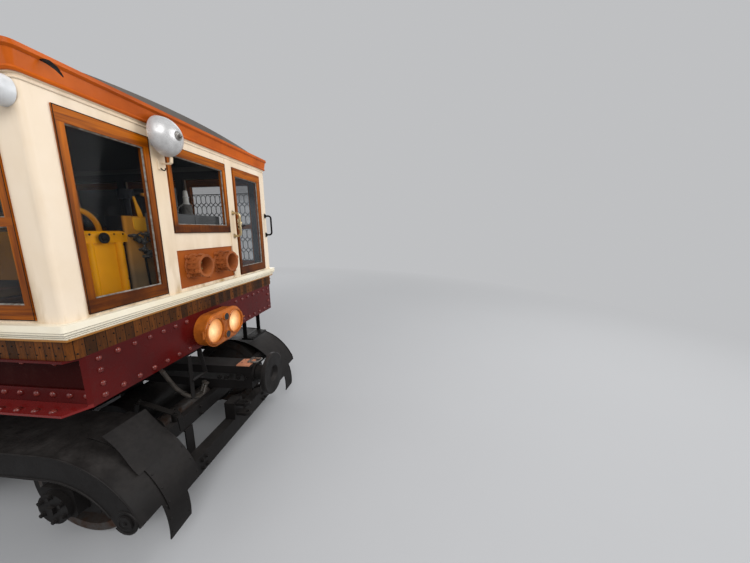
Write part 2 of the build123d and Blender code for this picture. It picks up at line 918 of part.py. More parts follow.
def make_brake_shoe():
    """Brake shoe behind the front wheel, hung from the transom by a strap."""
    inner = wheel_radius + shoe_gap
    x, height = wheelbase / 2, z(wheel_radius)
    corners = []
    for radius, sign in ((inner, 1), (inner + shoe_thick, -1)):
        for angle in (-shoe_angle, 0, shoe_angle):
            turn = math.radians(180 + sign * angle)
            corners.append((x + radius * math.cos(turn), height + radius * math.sin(turn)))
    a, b, c, d, e, f = corners
    face_arc = ThreePointArc(a, b, c)
    outline = face_arc + Line(c, d) + ThreePointArc(d, e, f) + Line(f, a)
    shoe = side_profile(outline, shoe_y0, shoe_y1)
    back = x - inner - shoe_thick
    middle = (shoe_y0 + shoe_y1) / 2
    strap = block(back - brake_strap, back, middle - brake_strap, middle + brake_strap,
                  height - 2 * brake_strap, z(transom_top) - brake_strap)
    bracket = block(transom_x, back, middle - brake_strap, middle + brake_strap,
                    z(transom_top) - 4 * brake_strap, z(transom_top) - brake_strap)
    lug = block(back - brake_strap, back + brake_strap, middle - brake_strap, middle + brake_strap,
                height - 2 * brake_strap, height + 2 * brake_strap)
    return shoe + strap + bracket + lug


def make_bogie_frame():
    """Side plates, transoms, headstock, bolster and brake shoes."""
    parts = []
    parts += mirrored(make_side_frame())
    shoe = make_brake_shoe()
    parts += mirrored(shoe) + mirrored(mirror(shoe, about=Plane.YZ))
    inner = side_frame_y
    half = transom_width / 2
    for place in (-transom_x, transom_x):
        parts.append(block(place - half, place + half, -inner, inner, z(transom_low), z(transom_top)))
    parts.append(block(headstock_x, headstock_x + headstock_thick, -inner, inner,
                       z(headstock_low), z(headstock_low) + headstock_height))
    parts.append(block(-bolster_half, bolster_half, -bolster_reach, bolster_reach,
                       z(transom_top), z(bolster_top)))
    outer = transom_x + half
    for side in (-1, 1):
        y0, y1 = sorted((side * bolster_reach, side * (bolster_reach - transom_width)))
        parts.append(block(-outer, outer, y0, y1, z(transom_low + 40), z(transom_top + 60)))
    bowl_top = z(frame_bottom) - pivot_drop - swivel_gap
    bowl = Pos(0, 0, (z(bolster_top) + bowl_top) / 2) * Cylinder(pivot_radius + 15,
                                                                bowl_top - z(bolster_top))
    return Part() + parts + bowl


def make_axlebox(x):
    """Cast box round the journal, with its cover, square nut and spring."""
    centre = z(wheel_radius)
    body = block(x - box_half, x + box_half, box_in, box_out, centre - box_below, centre + box_above)
    body = fillet(body.edges().filter_by(Axis.Y), radius=box_round)
    cover = rod((x, box_out, centre), (x, box_out + cover_thick, centre), cover_radius)
    nut = block(x - nut_side / 2, x + nut_side / 2, box_out + cover_thick, box_out + cover_thick + nut_thick,
                centre - nut_side / 2, centre + nut_side / 2)
    spring = block(x - spring_half, x + spring_half, spring_in, spring_in + spring_width,
                   centre + box_above, z(pedestal_top))
    bore = rod((x, box_in - 5, centre), (x, journal_end + 5, centre), journal_radius + journal_gap)
    return body + cover + nut + spring - bore


def arc_points(radius, start, stop):
    """Start, middle and end of an arc about the fender's centre, angles in degrees."""
    points = []
    for angle in (start, (start + stop) / 2, stop):
        turn = math.radians(angle)
        points.append((fender_x + radius * math.cos(turn), z(fender_z) + radius * math.sin(turn)))
    return points


def curved_sheet(outer, thick, start, stop, y0, y1, tail=0):
    """Sheet along an arc about the fender's centre, with a flat tail behind its top."""
    a, b, c = arc_points(outer, start, stop)
    d, e, f = arc_points(outer - thick, stop, start)
    edge = ThreePointArc(a, b, c)
    if tail:
        edge += Polyline(c, (tail, c[1]), (tail, d[1]), d)
    else:
        edge += Line(c, d)
    return side_profile(edge + ThreePointArc(d, e, f) + Line(f, a), y0, y1)


def make_fender():
    """Left fender: sheet over the wheel, raised inner sheet, skirt and front flap."""
    outer = half_width
    sheet = curved_sheet(fender_radius, fender_sheet, 18, 90, fender_in, outer, bogie_rear)
    flap = curved_sheet(fender_radius, fender_sheet, -7.5, 19, 730, 890)
    raised = curved_sheet(fender_radius + 7, 7, 12, 81, 620, 870)
    skirt = curved_sheet(fender_radius, skirt_depth, 22, 90, outer - skirt_thick, outer, bogie_rear)
    middle = fender_radius - skirt_depth / 2
    turn = math.radians(24)
    end_x = fender_x + middle * math.cos(turn)
    end_z = z(fender_z) + middle * math.sin(turn)
    boss = Pos(end_x, outer - skirt_thick / 2, end_z) * Rot(90, 0, 0) * Cylinder(skirt_depth / 2,
                                                                                skirt_thick)
    pin = rod((end_x, outer - skirt_thick, end_z), (end_x, outer + 0.7 * skirt_thick, end_z), boss_pin)
    stays = []
    half = stay_width / 2
    for place in stay_places:
        stays.append(block(place - half, place + half, side_frame_y, outer - skirt_thick,
                           z(frame_plate_top), z(fender_z) + fender_radius - fender_sheet))
    return Part() + sheet + flap + raised + skirt + boss + pin + stays


motor_x = 430
motor_radius = 190
motor_half = 310
motor_raise = 10
gear_in = 410
gear_out = 520
gear_radius = 190
pinion_x = 470
pinion_radius = 120
pinion_neck = 70
bearing_in = 290
bearing_out = 400
bearing_round = 100
nose_half = 90


def make_motor():
    """Traction motor on the front axle: round case, two axle bearings and the gear case."""
    axle, centre = wheelbase / 2, z(wheel_radius)
    level = centre + motor_raise
    case = rod((motor_x, -motor_half, level), (motor_x, motor_half, level), motor_radius)
    feet = block(motor_x - 130, motor_x + 130, 10 - motor_half, motor_half - 10,
                 centre - motor_radius, centre + 60)
    bearings = []
    for y0, y1 in ((-bearing_out, -bearing_in), (bearing_in, bearing_out)):
        arm = block(motor_x, axle, y0, y1, centre - pinion_neck, centre + pinion_neck)
        bearings.append(rod((axle, y0, centre), (axle, y1, centre), bearing_round) + arm)
    gear_case = rod((axle, gear_in, centre), (axle, gear_out, centre), gear_radius)
    gear_case += rod((pinion_x, gear_in, centre), (pinion_x, gear_out, centre), pinion_radius)
    gear_case += block(pinion_x, axle, gear_in, gear_out, centre - pinion_radius, centre + pinion_radius)
    link = rod((pinion_x, bearing_in, centre), (pinion_x, gear_in + 20, centre), pinion_neck)
    nose = block(transom_x, motor_x - 130, -nose_half, nose_half, centre + 60, z(transom_low))
    whole = case + feet + bearings + gear_case + link + nose
    return whole - rod((axle, -gear_out, centre), (axle, gear_out + 80, centre), axle_radius + pin_gap)


buffer_reach = 1640
buffer_z = 720
buffer_radius = 168
buffer_length = 160
buffer_stem = 62
buffer_disc = 32
beam_thick = 150
beam_top = 800
beam_low = 610
beam_wall = 65


def make_draw_beam():
    """Forked beam from the bolster out to the buffer."""
    end = buffer_reach - buffer_length
    start = bolster_half
    rest = z(headstock_low) + headstock_height
    outline = FilletPolyline((start, z(bolster_top) - 20), (start + 270, z(beam_top)),
                             (end, z(beam_top)), (end, z(beam_low)),
                             (headstock_x + 2 * headstock_thick, rest), (headstock_x - 40, rest),
                             (start, rest + 50), radius=8, close=True)
    beam = side_profile(outline, -beam_thick / 2, beam_thick / 2)
    top, low = z(beam_top) - beam_wall, z(beam_low) + beam_wall
    slot_start, slot_end = start + 400, end - beam_wall
    slot = FilletPolyline((slot_start, top), (slot_end, top), (slot_end, low), (slot_start, low + 15),
                          radius=0.3 * beam_wall, close=True)
    return beam - side_profile(slot, -beam_thick, beam_thick)


def make_buffer():
    """Turned buffer: stem, collar and dished disc."""
    start, end = buffer_reach - buffer_length, buffer_reach
    stem, disc = buffer_stem, end - buffer_disc
    points = Polyline((start, 0), (start, 1.25 * stem), (start + 20, 1.25 * stem), (start + 20, stem),
                      (disc - 18, stem), (disc - 8, 1.3 * stem), (disc, buffer_radius),
                      (end - 6, buffer_radius), (end, buffer_radius - 10), (end, 1.06 * stem),
                      (end - 0.9 * buffer_disc, 0.7 * stem), (end - 0.9 * buffer_disc, 0), close=True)
    return Pos(0, 0, z(buffer_z)) * revolve(Plane.XZ * make_face(points), axis=Axis.X)


guard_x = 1280
guard_z = 300
guard_half = 640
guard_width = 90
guard_height = 130
guard_thick = 12
hanger_y = 440
hanger_width = 70
hanger_thick = 10


def make_guard():
    """Angle beam ahead of the wheels, on two hangers from the headstock."""
    back, top = guard_x - guard_width, z(guard_z)
    parts = [block(back, guard_x, -guard_half, guard_half, top - guard_thick, top),
             block(guard_x - guard_thick, guard_x, -guard_half, guard_half, top - guard_height, top)]
    low = z(headstock_low)
    for side in (-hanger_y, hanger_y):
        y0, y1 = side - hanger_width / 2, side + hanger_width / 2
        parts.append(block(back - hanger_thick, back, y0, y1, top - guard_thick, low))
        parts.append(block(headstock_x, back, y0, y1, low - hanger_thick, low))
    return Part() + parts


clevis_length = 90
clevis_overhang = 10
clevis_half = 60
clevis_height = 150
tongue_half = 35
tongue_thick = 22
tongue_reach = 75
tongue_heights = (25, 115)
coupling_bore = 17


def make_coupling():
    """Coupling block on the guard beam, with two eyed tongues for a pin."""
    low, clevis_front = z(guard_z), guard_x + clevis_overhang
    whole = block(clevis_front - clevis_length, clevis_front, -clevis_half, clevis_half,
                  low, low + clevis_height)
    eye_x = clevis_front + tongue_reach
    for height in tongue_heights:
        whole += block(clevis_front, eye_x, -tongue_half, tongue_half, low + height,
                       low + height + tongue_thick)
        whole += rod((eye_x, 0, low + height), (eye_x, 0, low + height + tongue_thick), tongue_half)
    return whole - rod((eye_x, 0, low), (eye_x, 0, low + 2 * clevis_height), coupling_bore)


def at_bogie(shape):
    return Pos(bogie_x, 0, 0) * shape


# Write every node

save("side_girders", make_girders())
save("end_frames", both_ends(make_end_frame()))
save("centre_frame", make_centre_frame())
save("end_plates", both_ends(make_end_plate()))
saloon_floor = block(-saloon_half, saloon_half, -wall_in, wall_in,
                     z(low_frame_top) - floor_thick, z(low_frame_top))
cab_floor_boards = block(saloon_half, face - plate_thick, -wall_in, wall_in,
                         z(cab_floor) - floor_thick, z(cab_floor))
save("floors", [saloon_floor] + both_ends(cab_floor_boards))
save("plank_bands", both_ends(make_plank_band()))
save("sill_moulding", make_sill())
save("side_wall_left", make_side_wall(1))
save("side_wall_right", make_side_wall(-1))
end_wall = Part() + make_end_wall() + make_fixed_knuckles()
save("end_wall_front", end_wall)
save("end_wall_rear", turned(end_wall))
side_frames, side_panes = make_side_sashes()
end_frames, end_panes = make_end_sashes()
save("window_sashes", side_frames + both_ends(end_frames))
save("window_panes", side_panes + both_ends(end_panes))
save("end_panels", both_ends(make_end_panel()))
save("cable_sockets", both_ends(make_sockets()))
roof = make_roof()
save("roof", roof)
save("cornice", make_cornice())
save("bulkheads", both_ends(make_bulkhead()))
save("saloon_benches", make_benches())
save("cab_seats", both_ends(make_cab_seat()))
save("controllers", both_ends(make_controller()))
save("brake_stands", both_ends(make_brake_stand()))
lamp, lenses = make_headlamp()
save("headlamps", both_ends(lamp))
save("headlamp_lenses", both_ends(lenses))
save("bells", both_ends(make_bell()))
save("grab_handles", both_ends([make_handle(y) for y in handle_places]))
save("cab_steps", both_ends(make_cab_step()))
save("corner_lamps", both_ends(make_corner_lamp()))
save("door_rails", [make_door_rail(1), make_door_rail(-1)])
save("collector_bases", both_ends(make_collector_base(roof)))

collector = make_collector()
door_leaf, door_pane = make_cab_door()
frame = at_bogie(make_bogie_frame())
boxes = [at_bogie(piece) for x in (-wheelbase / 2, wheelbase / 2) for piece in mirrored(make_axlebox(x))]
fenders = [at_bogie(piece) for piece in mirrored(make_fender())]
motor = at_bogie(make_motor())
beam = at_bogie(make_draw_beam())
buffer = at_bogie(make_buffer())
guard = at_bogie(make_guard())
coupling = at_bogie(make_coupling())
for end, place in (("front", lambda shape: shape), ("rear", turned)):
    save(f"collector_{end}", place(collector))
    save(f"cab_door_{end}", place(door_leaf))
    save(f"cab_door_pane_{end}", place(door_pane))
    save(f"bogie_frame_{end}", place(frame))
    save(f"axleboxes_{end}", [place(piece) for piece in boxes])
    save(f"fenders_{end}", [place(piece) for piece in fenders])
    save(f"motor_{end}", place(motor))
    save(f"draw_beam_{end}", place(beam))
    save(f"buffer_{end}", place(buffer))
    save(f"guard_beam_{end}", place(guard))
    save(f"coupling_{end}", place(coupling))
for number, x in enumerate((wheelbase / 2, -wheelbase / 2), start=1):
    save(f"wheelset_front_{number}", make_wheelset(bogie_x + x))
    save(f"wheelset_rear_{number}", turned(make_wheelset(bogie_x + x)))
for name, side in (("left", 1), ("right", -1)):
    leaf, pane = make_saloon_door(side)
    save(f"saloon_door_{name}", leaf)
    save(f"saloon_door_pane_{name}", pane)
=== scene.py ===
# %% [markdown]
# # Subway car
# A historic low-height subway motor car with a wooden body on a riveted swan-neck frame.
# The construction comes ready made as a fixed frame of metal and wood pieces. This script
# gives each piece its finish and adds what is too small or too soft for the frame: rivets,
# nails, putty, lamp fittings, pipes, bolts and cushions. All lengths are metres.

# %% Load the frame
import bpy
import bmesh
from math import cos, exp, pi, radians, sin, sqrt
from mathutils import Vector, Matrix


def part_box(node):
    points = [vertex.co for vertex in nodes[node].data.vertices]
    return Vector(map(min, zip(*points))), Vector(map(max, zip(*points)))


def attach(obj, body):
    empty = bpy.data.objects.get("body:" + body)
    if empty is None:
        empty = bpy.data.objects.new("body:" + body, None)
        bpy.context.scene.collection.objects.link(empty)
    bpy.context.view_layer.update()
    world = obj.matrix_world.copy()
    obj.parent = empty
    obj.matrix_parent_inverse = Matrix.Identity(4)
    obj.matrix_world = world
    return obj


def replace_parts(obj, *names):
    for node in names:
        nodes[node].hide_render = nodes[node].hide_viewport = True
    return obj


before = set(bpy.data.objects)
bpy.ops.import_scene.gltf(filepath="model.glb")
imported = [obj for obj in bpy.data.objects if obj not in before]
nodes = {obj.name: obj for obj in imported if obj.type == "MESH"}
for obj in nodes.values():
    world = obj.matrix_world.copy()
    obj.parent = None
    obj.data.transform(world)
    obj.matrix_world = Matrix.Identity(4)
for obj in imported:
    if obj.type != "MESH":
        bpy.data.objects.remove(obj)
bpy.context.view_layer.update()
face_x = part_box("end_plates")[1].x
rail_top = 0.025

# %% [markdown]
# ## Camera
# The photograph was taken with a very wide lens, held a little ahead of the end face and
# beside the car, at about eye height above the rail. Its place, heading, tilt and roll were
# solved from the rails and the corners of the end face, so the camera repeats them as sizes.

# %% Camera
def new_object(name, data):
    """Object that is in the scene."""
    made = bpy.data.objects.new(name, data)
    bpy.context.scene.collection.objects.link(made)
    return made


PHOTO_WIDTH = 750
FOCAL_PIXELS = 290.9
CAMERA_PLACE = Vector((face_x + 1.592, -2.154, rail_top + 1.886))
HEADING = radians(-6.7)
TILT = radians(-10.02)
ROLL = radians(-0.656)


def make_camera():
    """Camera at the photographer's place, with the same angle of view."""
    data = bpy.data.cameras.new("camera")
    camera = new_object("camera", data)
    ahead = Vector((sin(HEADING) * cos(TILT), cos(HEADING) * cos(TILT), sin(TILT)))
    level = Vector((cos(HEADING), -sin(HEADING), 0))
    up = level.cross(ahead)
    right = cos(ROLL) * level + sin(ROLL) * up
    top = cos(ROLL) * up - sin(ROLL) * level
    axes = Matrix((right, top, -ahead)).transposed()
    camera.matrix_world = Matrix.Translation(CAMERA_PLACE) @ axes.to_4x4()
    data.sensor_width = 36
    data.lens = FOCAL_PIXELS / PHOTO_WIDTH * data.sensor_width
    data.clip_end = 200
    bpy.context.scene.camera = camera
    return camera


camera = make_camera()
print("lens", round(camera.data.lens, 2), "mm")

# %% [markdown]
# ## Light and floor
# A studio: pale floor, pale world and a few large soft lamps. Large area lamps give the
# glossy paint long soft highlights, and the world fills the shadows under the frame. A plain
# floor would meet the world in a hard line, so far from the car its paint turns into a surface
# that glows in the world's own colour.

# %% Studio
WORLD_COLOUR, WORLD_STRENGTH = (0.9, 0.91, 0.93), 0.58
FLOOR_HALF = 60


def make_floor():
    """Wide pale floor that the wheels stand on."""
    mesh = bpy.data.meshes.new("floor")
    corners = ((-1, -1), (1, -1), (1, 1), (-1, 1))
    mesh.from_pydata([(FLOOR_HALF * x, FLOOR_HALF * y, 0) for x, y in corners], [], [(0, 1, 2, 3)])
    floor = new_object("floor", mesh)
    return floor


def area_lamp(name, place, target, size, power):
    """Square soft lamp that looks at a point."""
    data = bpy.data.lights.new(name, "AREA")
    data.shape = "SQUARE"
    data.size = size
    data.energy = power
    lamp = new_object(name, data)
    turn = (Vector(target) - Vector(place)).to_track_quat("-Z", "Y")
    lamp.matrix_world = Matrix.Translation(Vector(place)) @ turn.to_matrix().to_4x4()


def set_world(colour, strength):
    """Even pale world."""
    world = bpy.data.worlds.new("studio")
    world.use_nodes = True
    background = world.node_tree.nodes["Background"]
    background.inputs["Color"].default_value = (*colour, 1)
    background.inputs["Strength"].default_value = strength
    bpy.context.scene.world = world


bpy.context.scene.view_settings.view_transform = "Standard"
floor = make_floor()
set_world(WORLD_COLOUR, WORLD_STRENGTH)
FRONT_MIDDLE, REAR_MIDDLE, MIDDLE = (5.0, 0, 1.4), (-5.0, 0, 1.4), (0, 0, 1.2)
area_lamp("key", (9.5, -6.5, 7.0), FRONT_MIDDLE, 6.0, 520)
area_lamp("ahead", (12.0, 2.5, 4.5), FRONT_MIDDLE, 5.0, 300)
area_lamp("side", (-2.0, -9.0, 6.0), MIDDLE, 8.0, 260)
area_lamp("rear", (-11.0, 3.0, 5.0), REAR_MIDDLE, 5.0, 240)
area_lamp("far_side", (0.0, 10.0, 6.0), MIDDLE, 8.0, 300)

# %% [markdown]
# ## Building blocks for finishes
# A finish is a small network of nodes round one Principled shader. These helpers add a node,
# wire it and hand back its result, so that each finish below reads as one list of layers.

# %% Node helpers
class Network:
    """A node tree that is built line by line."""

    def __init__(self, tree):
        self.tree = tree

    def join(self, value, socket):
        """Feed a socket from another node's output, or give it a constant."""
        if hasattr(value, "is_output"):
            self.tree.links.new(value, socket)
        else:
            socket.default_value = value

    def add(self, kind, inputs=None, **settings):
        """New node: settings are its properties, and inputs feed its sockets by name or number."""
        node = self.tree.nodes.new(kind)
        for name, value in settings.items():
            setattr(node, name, value)
        for key, value in (inputs or {}).items():
            self.join(value, node.inputs[key])
        return node

    def sum(self, kind, first, second=0.0, clamp=False):
        """One step of arithmetic."""
        return self.add("ShaderNodeMath", {0: first, 1: second}, operation=kind, use_clamp=clamp).outputs[0]

    def times(self, first, second, clamp=False):
        return self.sum("MULTIPLY", first, second, clamp)


class Finish(Network):
    """One material and the few kinds of node that its pattern needs."""

    def __init__(self, name, rough=0.5, metal=0.0, **constants):
        self.material = bpy.data.materials.new(name)
        self.material.use_nodes = True
        super().__init__(self.material.node_tree)
        self.shader = self.tree.nodes["Principled BSDF"]
        starts = {"Metallic": metal, "Roughness": rough, "Specular IOR Level": 0.16}
        for socket, value in (*starts.items(), *constants.items()):
            self.shader.inputs[socket.replace("_", " ")].default_value = value
        self.place = self.add("ShaderNodeTexCoord").outputs["Object"]

    def stretch(self, scale, shift=(0, 0, 0)):
        """Coordinates pulled by a factor along each axis."""
        inputs = {"Vector": self.place, "Scale": scale, "Location": shift}
        return self.add("ShaderNodeMapping", inputs).outputs["Vector"]

    def noise(self, scale, detail=4, rough=0.55, source=None, warp=0.0):
        inputs = {"Vector": source or self.place, "Scale": scale, "Detail": detail}
        inputs.update({"Roughness": rough, "Distortion": warp})
        return self.add("ShaderNodeTexNoise", inputs).outputs["Fac"]

    def axis(self, letter, source=None):
        return self.add("ShaderNodeSeparateXYZ", {"Vector": source or self.place}).outputs[letter]

    def apart(self, first, second):
        """Distance between two values."""
        return self.sum("ABSOLUTE", self.sum("SUBTRACT", first, second))

    def off(self, letter):
        """Distance from the middle of the car along an axis."""
        return self.sum("ABSOLUTE", self.axis(letter))

    def fold(self, value):
        """0 halfway between two whole numbers and 0.5 at each of them."""
        return self.apart(self.sum("FRACT", value), 0.5)

    def step(self, value, low, high, out_low=0.0, out_high=1.0):
        """Value from one range carried to another and held at its ends."""
        inputs = {"Value": value, "From Min": low, "From Max": high, "To Min": out_low, "To Max": out_high}
        return self.add("ShaderNodeMapRange", inputs).outputs["Result"]

    def blend(self, share, first, second):
        """Mix of two colours."""
        made = self.add("ShaderNodeMix", {"Factor": share}, data_type="RGBA")
        for socket, colour in (("A", first), ("B", second)):
            target = [item for item in made.inputs if item.name == socket and item.type == "RGBA"][0]
            self.join(colour if hasattr(colour, "is_output") else (*colour, 1), target)
        return [item for item in made.outputs if item.type == "RGBA"][0]

    def feed(self, socket, value):
        self.join(value, self.shader.inputs[socket])
        return self

    def colour(self, share, first, second):
        """Base colour that goes from the first to the second as a mask goes from 0 to 1."""
        return self.feed("Base Color", self.blend(share, first, second))

    def cover(self, share, colour):
        """Lay a colour over the paint so far where a mask is 1."""
        return self.colour(share, self.shader.inputs["Base Color"].links[0].from_socket, colour)

    def roughness(self, share, low, high):
        """Roughness that goes from low to high as a mask goes from 0 to 1."""
        return self.feed("Roughness", self.step(share, 0, 1, low, high))

    def bump(self, height, distance, strength=1.0):
        inputs = {"Height": height, "Distance": distance, "Strength": strength}
        return self.feed("Normal", self.add("ShaderNodeBump", inputs).outputs["Normal"])


print("node helpers ready")

# %% [markdown]
# ## Painted wood
# The upper body is wood under many coats of cream oil paint. Brush strokes leave faint
# upright ridges, age leaves broad yellow patches, and soot gathers low down where hands and
# water reach. All three come from noise on the object's own coordinates, so they hold still
# from every side.

# %% Cream paint
INSIDE_X = face_x - 0.045
INSIDE_Y = 0.975
SALOON_WALL_LOW, SALOON_WALL_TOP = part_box("side_wall_left")[0].z, rail_top + 1.44
SILL_FOOT, GROOVE_PITCH = rail_top + 1.385, 0.0142


def inner_face(finish):
    """1 on the faces that look into the car, 0 outside."""
    across = finish.sum("LESS_THAN", finish.off("Y"), INSIDE_Y)
    along = finish.sum("LESS_THAN", finish.off("X"), INSIDE_X)
    return finish.times(across, along)


def cream_paint():
    """Glossy old cream paint, dirty near the sill, with painted shade that makes it dark brown inside the
    car.
    """
    finish = Finish("cream_paint", Coat_Weight=0.12, Coat_Roughness=0.12)
    patches = finish.step(finish.noise(1.6, 5), 0.38, 0.66)
    base = finish.blend(patches, (0.785, 0.66, 0.515), (0.72, 0.57, 0.4))
    height = finish.axis("Z")
    low = finish.step(height, rail_top + 1.47, rail_top + 1.8, 1.0, 0.0)
    low = finish.sum("MINIMUM", low, finish.step(height, SALOON_WALL_TOP - 0.05, SALOON_WALL_TOP, 0.0, 1.0))
    low = finish.sum("MAXIMUM", low, finish.step(height, SALOON_WALL_LOW, SALOON_WALL_LOW + 0.3, 0.7, 0.0))
    streaks = finish.step(finish.noise(9, 6, source=finish.stretch((1.0, 1.0, 0.22))), 0.46, 0.74)
    dirt = finish.times(finish.sum("ADD", low, 0.22), streaks, clamp=True)
    soiled = finish.blend(dirt, base, (0.4, 0.27, 0.13))
    brush = finish.noise(160, 3, source=finish.stretch((1.0, 1.0, 0.03)))
    finish.roughness(dirt, 0.3, 0.6)
    # Painted shade: the faces that look into the car are dark brown, for the shade inside.
    inside_shade = finish.blend(patches, (0.03, 0.026, 0.026), (0.05, 0.038, 0.03))
    return finish.colour(inner_face(finish), soiled, inside_shade).bump(brush, 0.0006, 0.35)


def sill_paint():
    """The same paint on the sill, with the thin grooves of its moulding darkened by painted shade."""
    finish = Finish("sill_paint", rough=0.3, Coat_Weight=0.15, Coat_Roughness=0.1)
    patches = finish.step(finish.noise(2.4, 5), 0.4, 0.68)
    base = finish.blend(patches, (0.84, 0.77, 0.62), (0.76, 0.66, 0.47))
    height = finish.sum("SUBTRACT", finish.axis("Z"), SILL_FOOT)
    wave = finish.fold(finish.sum("DIVIDE", height, GROOVE_PITCH))
    band = finish.times(finish.step(height, 0.018, 0.022), finish.step(height, 0.058, 0.062, 1.0, 0.0))
    groove = finish.times(finish.step(wave, 0.04, 0.15, 1.0, 0.0), band)
    chips = finish.step(finish.noise(46, 6), 0.7, 0.76)
    worn = finish.blend(chips, base, (0.27, 0.17, 0.09))
    # Painted shade: the grooves are darkened, besides being sunk by the bump.
    groove_shaded = finish.blend(groove, worn, (0.035, 0.022, 0.012))
    foot = finish.step(height, 0.009, 0.012, 1.0, 0.0)
    depth = finish.sum("SUBTRACT", 1.0, groove)
    return finish.colour(foot, groove_shaded, (0.3, 0.125, 0.022)).bump(depth, 0.002, 0.7)


finishes = {"cream": cream_paint(), "sill": sill_paint()}
print("finishes", sorted(finishes))

# %% [markdown]
# ## Varnished wood
# Window bars and doors are orange brown wood under thick varnish. The grain runs along each bar. A whole
# window frame is one piece here, so its finish holds both directions: the heights of the foot, middle and
# head rails are known, and between those heights the grain stands upright. Stretching the coordinates across
# the grain turns round noise into long fibres. The wood is darker towards the bottom of the window frames,
# most on the end faces, and the lowest rail is nearly black.

# %% Varnish
SASH_LOW, SASH_HIGH, SASH_MIDDLE = rail_top + 1.485, rail_top + 2.46, rail_top + 1.94
SASH_FOOT, SASH_HEAD, SASH_STILE = 0.072, 0.07, 0.04
MIDDLE_WINDOW, END_WINDOWS = 0.34, face_x - 0.1


def fibres(finish, squeeze):
    """Fine fibres with the grain's light and dark bands."""
    fine = finish.noise(62, 7, 0.62, finish.stretch(squeeze), warp=0.6)
    bands = finish.noise(11, 3, 0.5, finish.stretch(squeeze, (3, 1, 2)), warp=1.2)
    mixed = finish.sum("ADD", finish.times(fine, 0.6), finish.times(bands, 0.4))
    return finish.step(mixed, 0.36, 0.64)


def on_level_bars(finish):
    """1 where a window frame's bars lie level, 0 on its uprights. End windows have no middle bar."""
    height = finish.axis("Z")
    foot = finish.sum("LESS_THAN", height, SASH_LOW + SASH_FOOT)
    head = finish.sum("GREATER_THAN", height, SASH_HIGH - SASH_HEAD)
    middle = finish.sum("LESS_THAN", finish.apart(height, SASH_MIDDLE), SASH_STILE / 2)
    middle = finish.times(middle, finish.sum("LESS_THAN", finish.off("X"), END_WINDOWS))
    return finish.sum("MAXIMUM", finish.sum("MAXIMUM", foot, head), middle)


def varnish(name, light=(0.46, 0.118, 0.001), dark=(0.12, 0.022, 0.001), low_darkening=1.0, along=None):
    """Varnished wood with upright grain, level grain on level bars or all grain along an axis."""
    finish = Finish(name, rough=0.4, Specular_IOR_Level=0.1, Coat_Weight=0.02, Coat_Roughness=0.1)
    if along:
        grain = fibres(finish, {"X": (0.05, 1, 1), "Y": (1, 0.05, 1), "Z": (1, 1, 0.05)}[along])
    else:
        level = on_level_bars(finish)
        upright = finish.times(fibres(finish, (1, 1, 0.05)), finish.sum("SUBTRACT", 1.0, level))
        grain = finish.sum("ADD", upright, finish.times(fibres(finish, (0.05, 0.05, 1)), level))
    wood = finish.blend(grain, dark, light)
    height, ahead = finish.axis("Z"), finish.off("X")
    low = finish.step(height, SASH_LOW, SASH_LOW + 0.85, 0.92 * low_darkening, 0.0)
    low = finish.sum("MINIMUM", low, finish.step(height, SASH_LOW - 0.25, SASH_LOW - 0.05, 0.25 * low_darkening, 1.0))
    middle = finish.sum("LESS_THAN", finish.off("Y"), MIDDLE_WINDOW)
    middle = finish.times(middle, finish.sum("GREATER_THAN", ahead, END_WINDOWS))
    foot = finish.step(height, rail_top + 1.92, rail_top + 2.02, 0.9 * low_darkening, 0.0)
    low = finish.sum("MAXIMUM", low, finish.times(middle, foot))
    low = finish.times(low, finish.step(ahead, END_WINDOWS - 0.02, END_WINDOWS, 0.35, 1.0))
    patchy = finish.times(low, finish.step(finish.noise(5, 4), 0.25, 0.62, 0.65, 1.08))
    return finish.colour(patchy, wood, (0.03, 0.007, 0.002)).bump(grain, 0.0005, 0.4)


finishes["varnish"] = varnish("varnish")
finishes["bulkhead"] = varnish("bulkhead_wood", (0.06, 0.036, 0.026), (0.03, 0.02, 0.016), 0.2, "Z")
finishes["bench"] = varnish("bench_wood", (0.3, 0.105, 0.02), (0.15, 0.045, 0.012), 0.0, "X")
print("varnish", [name for name in finishes if "varnish" in name])

# %% [markdown]
# ## Planks
# Between the sill and the steel frame, the ends of short upright boards show. Every board has
# its own brown. Rounding the place along the car to whole boards gives each a number, and
# noise on that number gives its shade. A thin dark gap with a small bump parts the boards.

# %% Planks
BOARD, FLOOR_BOARD = 0.052, 0.09


def plank_wood():
    """Short upright boards, each in its own brown, with dark gaps."""
    finish = Finish("plank_wood", Specular_IOR_Level=0.08, Coat_Weight=0.03, Coat_Roughness=0.25)
    along = finish.sum("ADD", finish.axis("X"), finish.axis("Y"))
    number = finish.sum("DIVIDE", along, BOARD)
    gap = finish.step(finish.fold(number), 0.455, 0.485)
    seed = finish.add("ShaderNodeTexWhiteNoise", {"W": finish.sum("FLOOR", number)}, noise_dimensions="1D")
    shade = finish.blend(seed.outputs["Value"], (0.022, 0.009, 0.003), (0.165, 0.05, 0.008))
    grain = finish.step(finish.noise(85, 6, 0.65, finish.stretch((1, 1, 0.12)), warp=0.5), 0.34, 0.66)
    grained = finish.blend(finish.times(grain, 0.68), shade, (0.02, 0.009, 0.005))
    height = finish.sum("SUBTRACT", finish.times(grain, 0.3), gap)
    return finish.colour(gap, grained, (0.008, 0.006, 0.005)).bump(height, 0.002, 0.8)


def floor_wood():
    """Long worn floor boards."""
    finish = Finish("floor_wood", rough=0.6)
    gap = finish.step(finish.fold(finish.sum("DIVIDE", finish.axis("Y"), FLOOR_BOARD)), 0.46, 0.485)
    grain = finish.step(finish.noise(70, 6, 0.6, finish.stretch((0.05, 1, 1))), 0.34, 0.66)
    wood = finish.blend(grain, (0.13, 0.075, 0.042), (0.27, 0.17, 0.1))
    return finish.colour(gap, wood, (0.02, 0.014, 0.01)).bump(gap, 0.002, -0.6)


finishes["planks"] = plank_wood()
finishes["floor"] = floor_wood()
print("board width", BOARD)

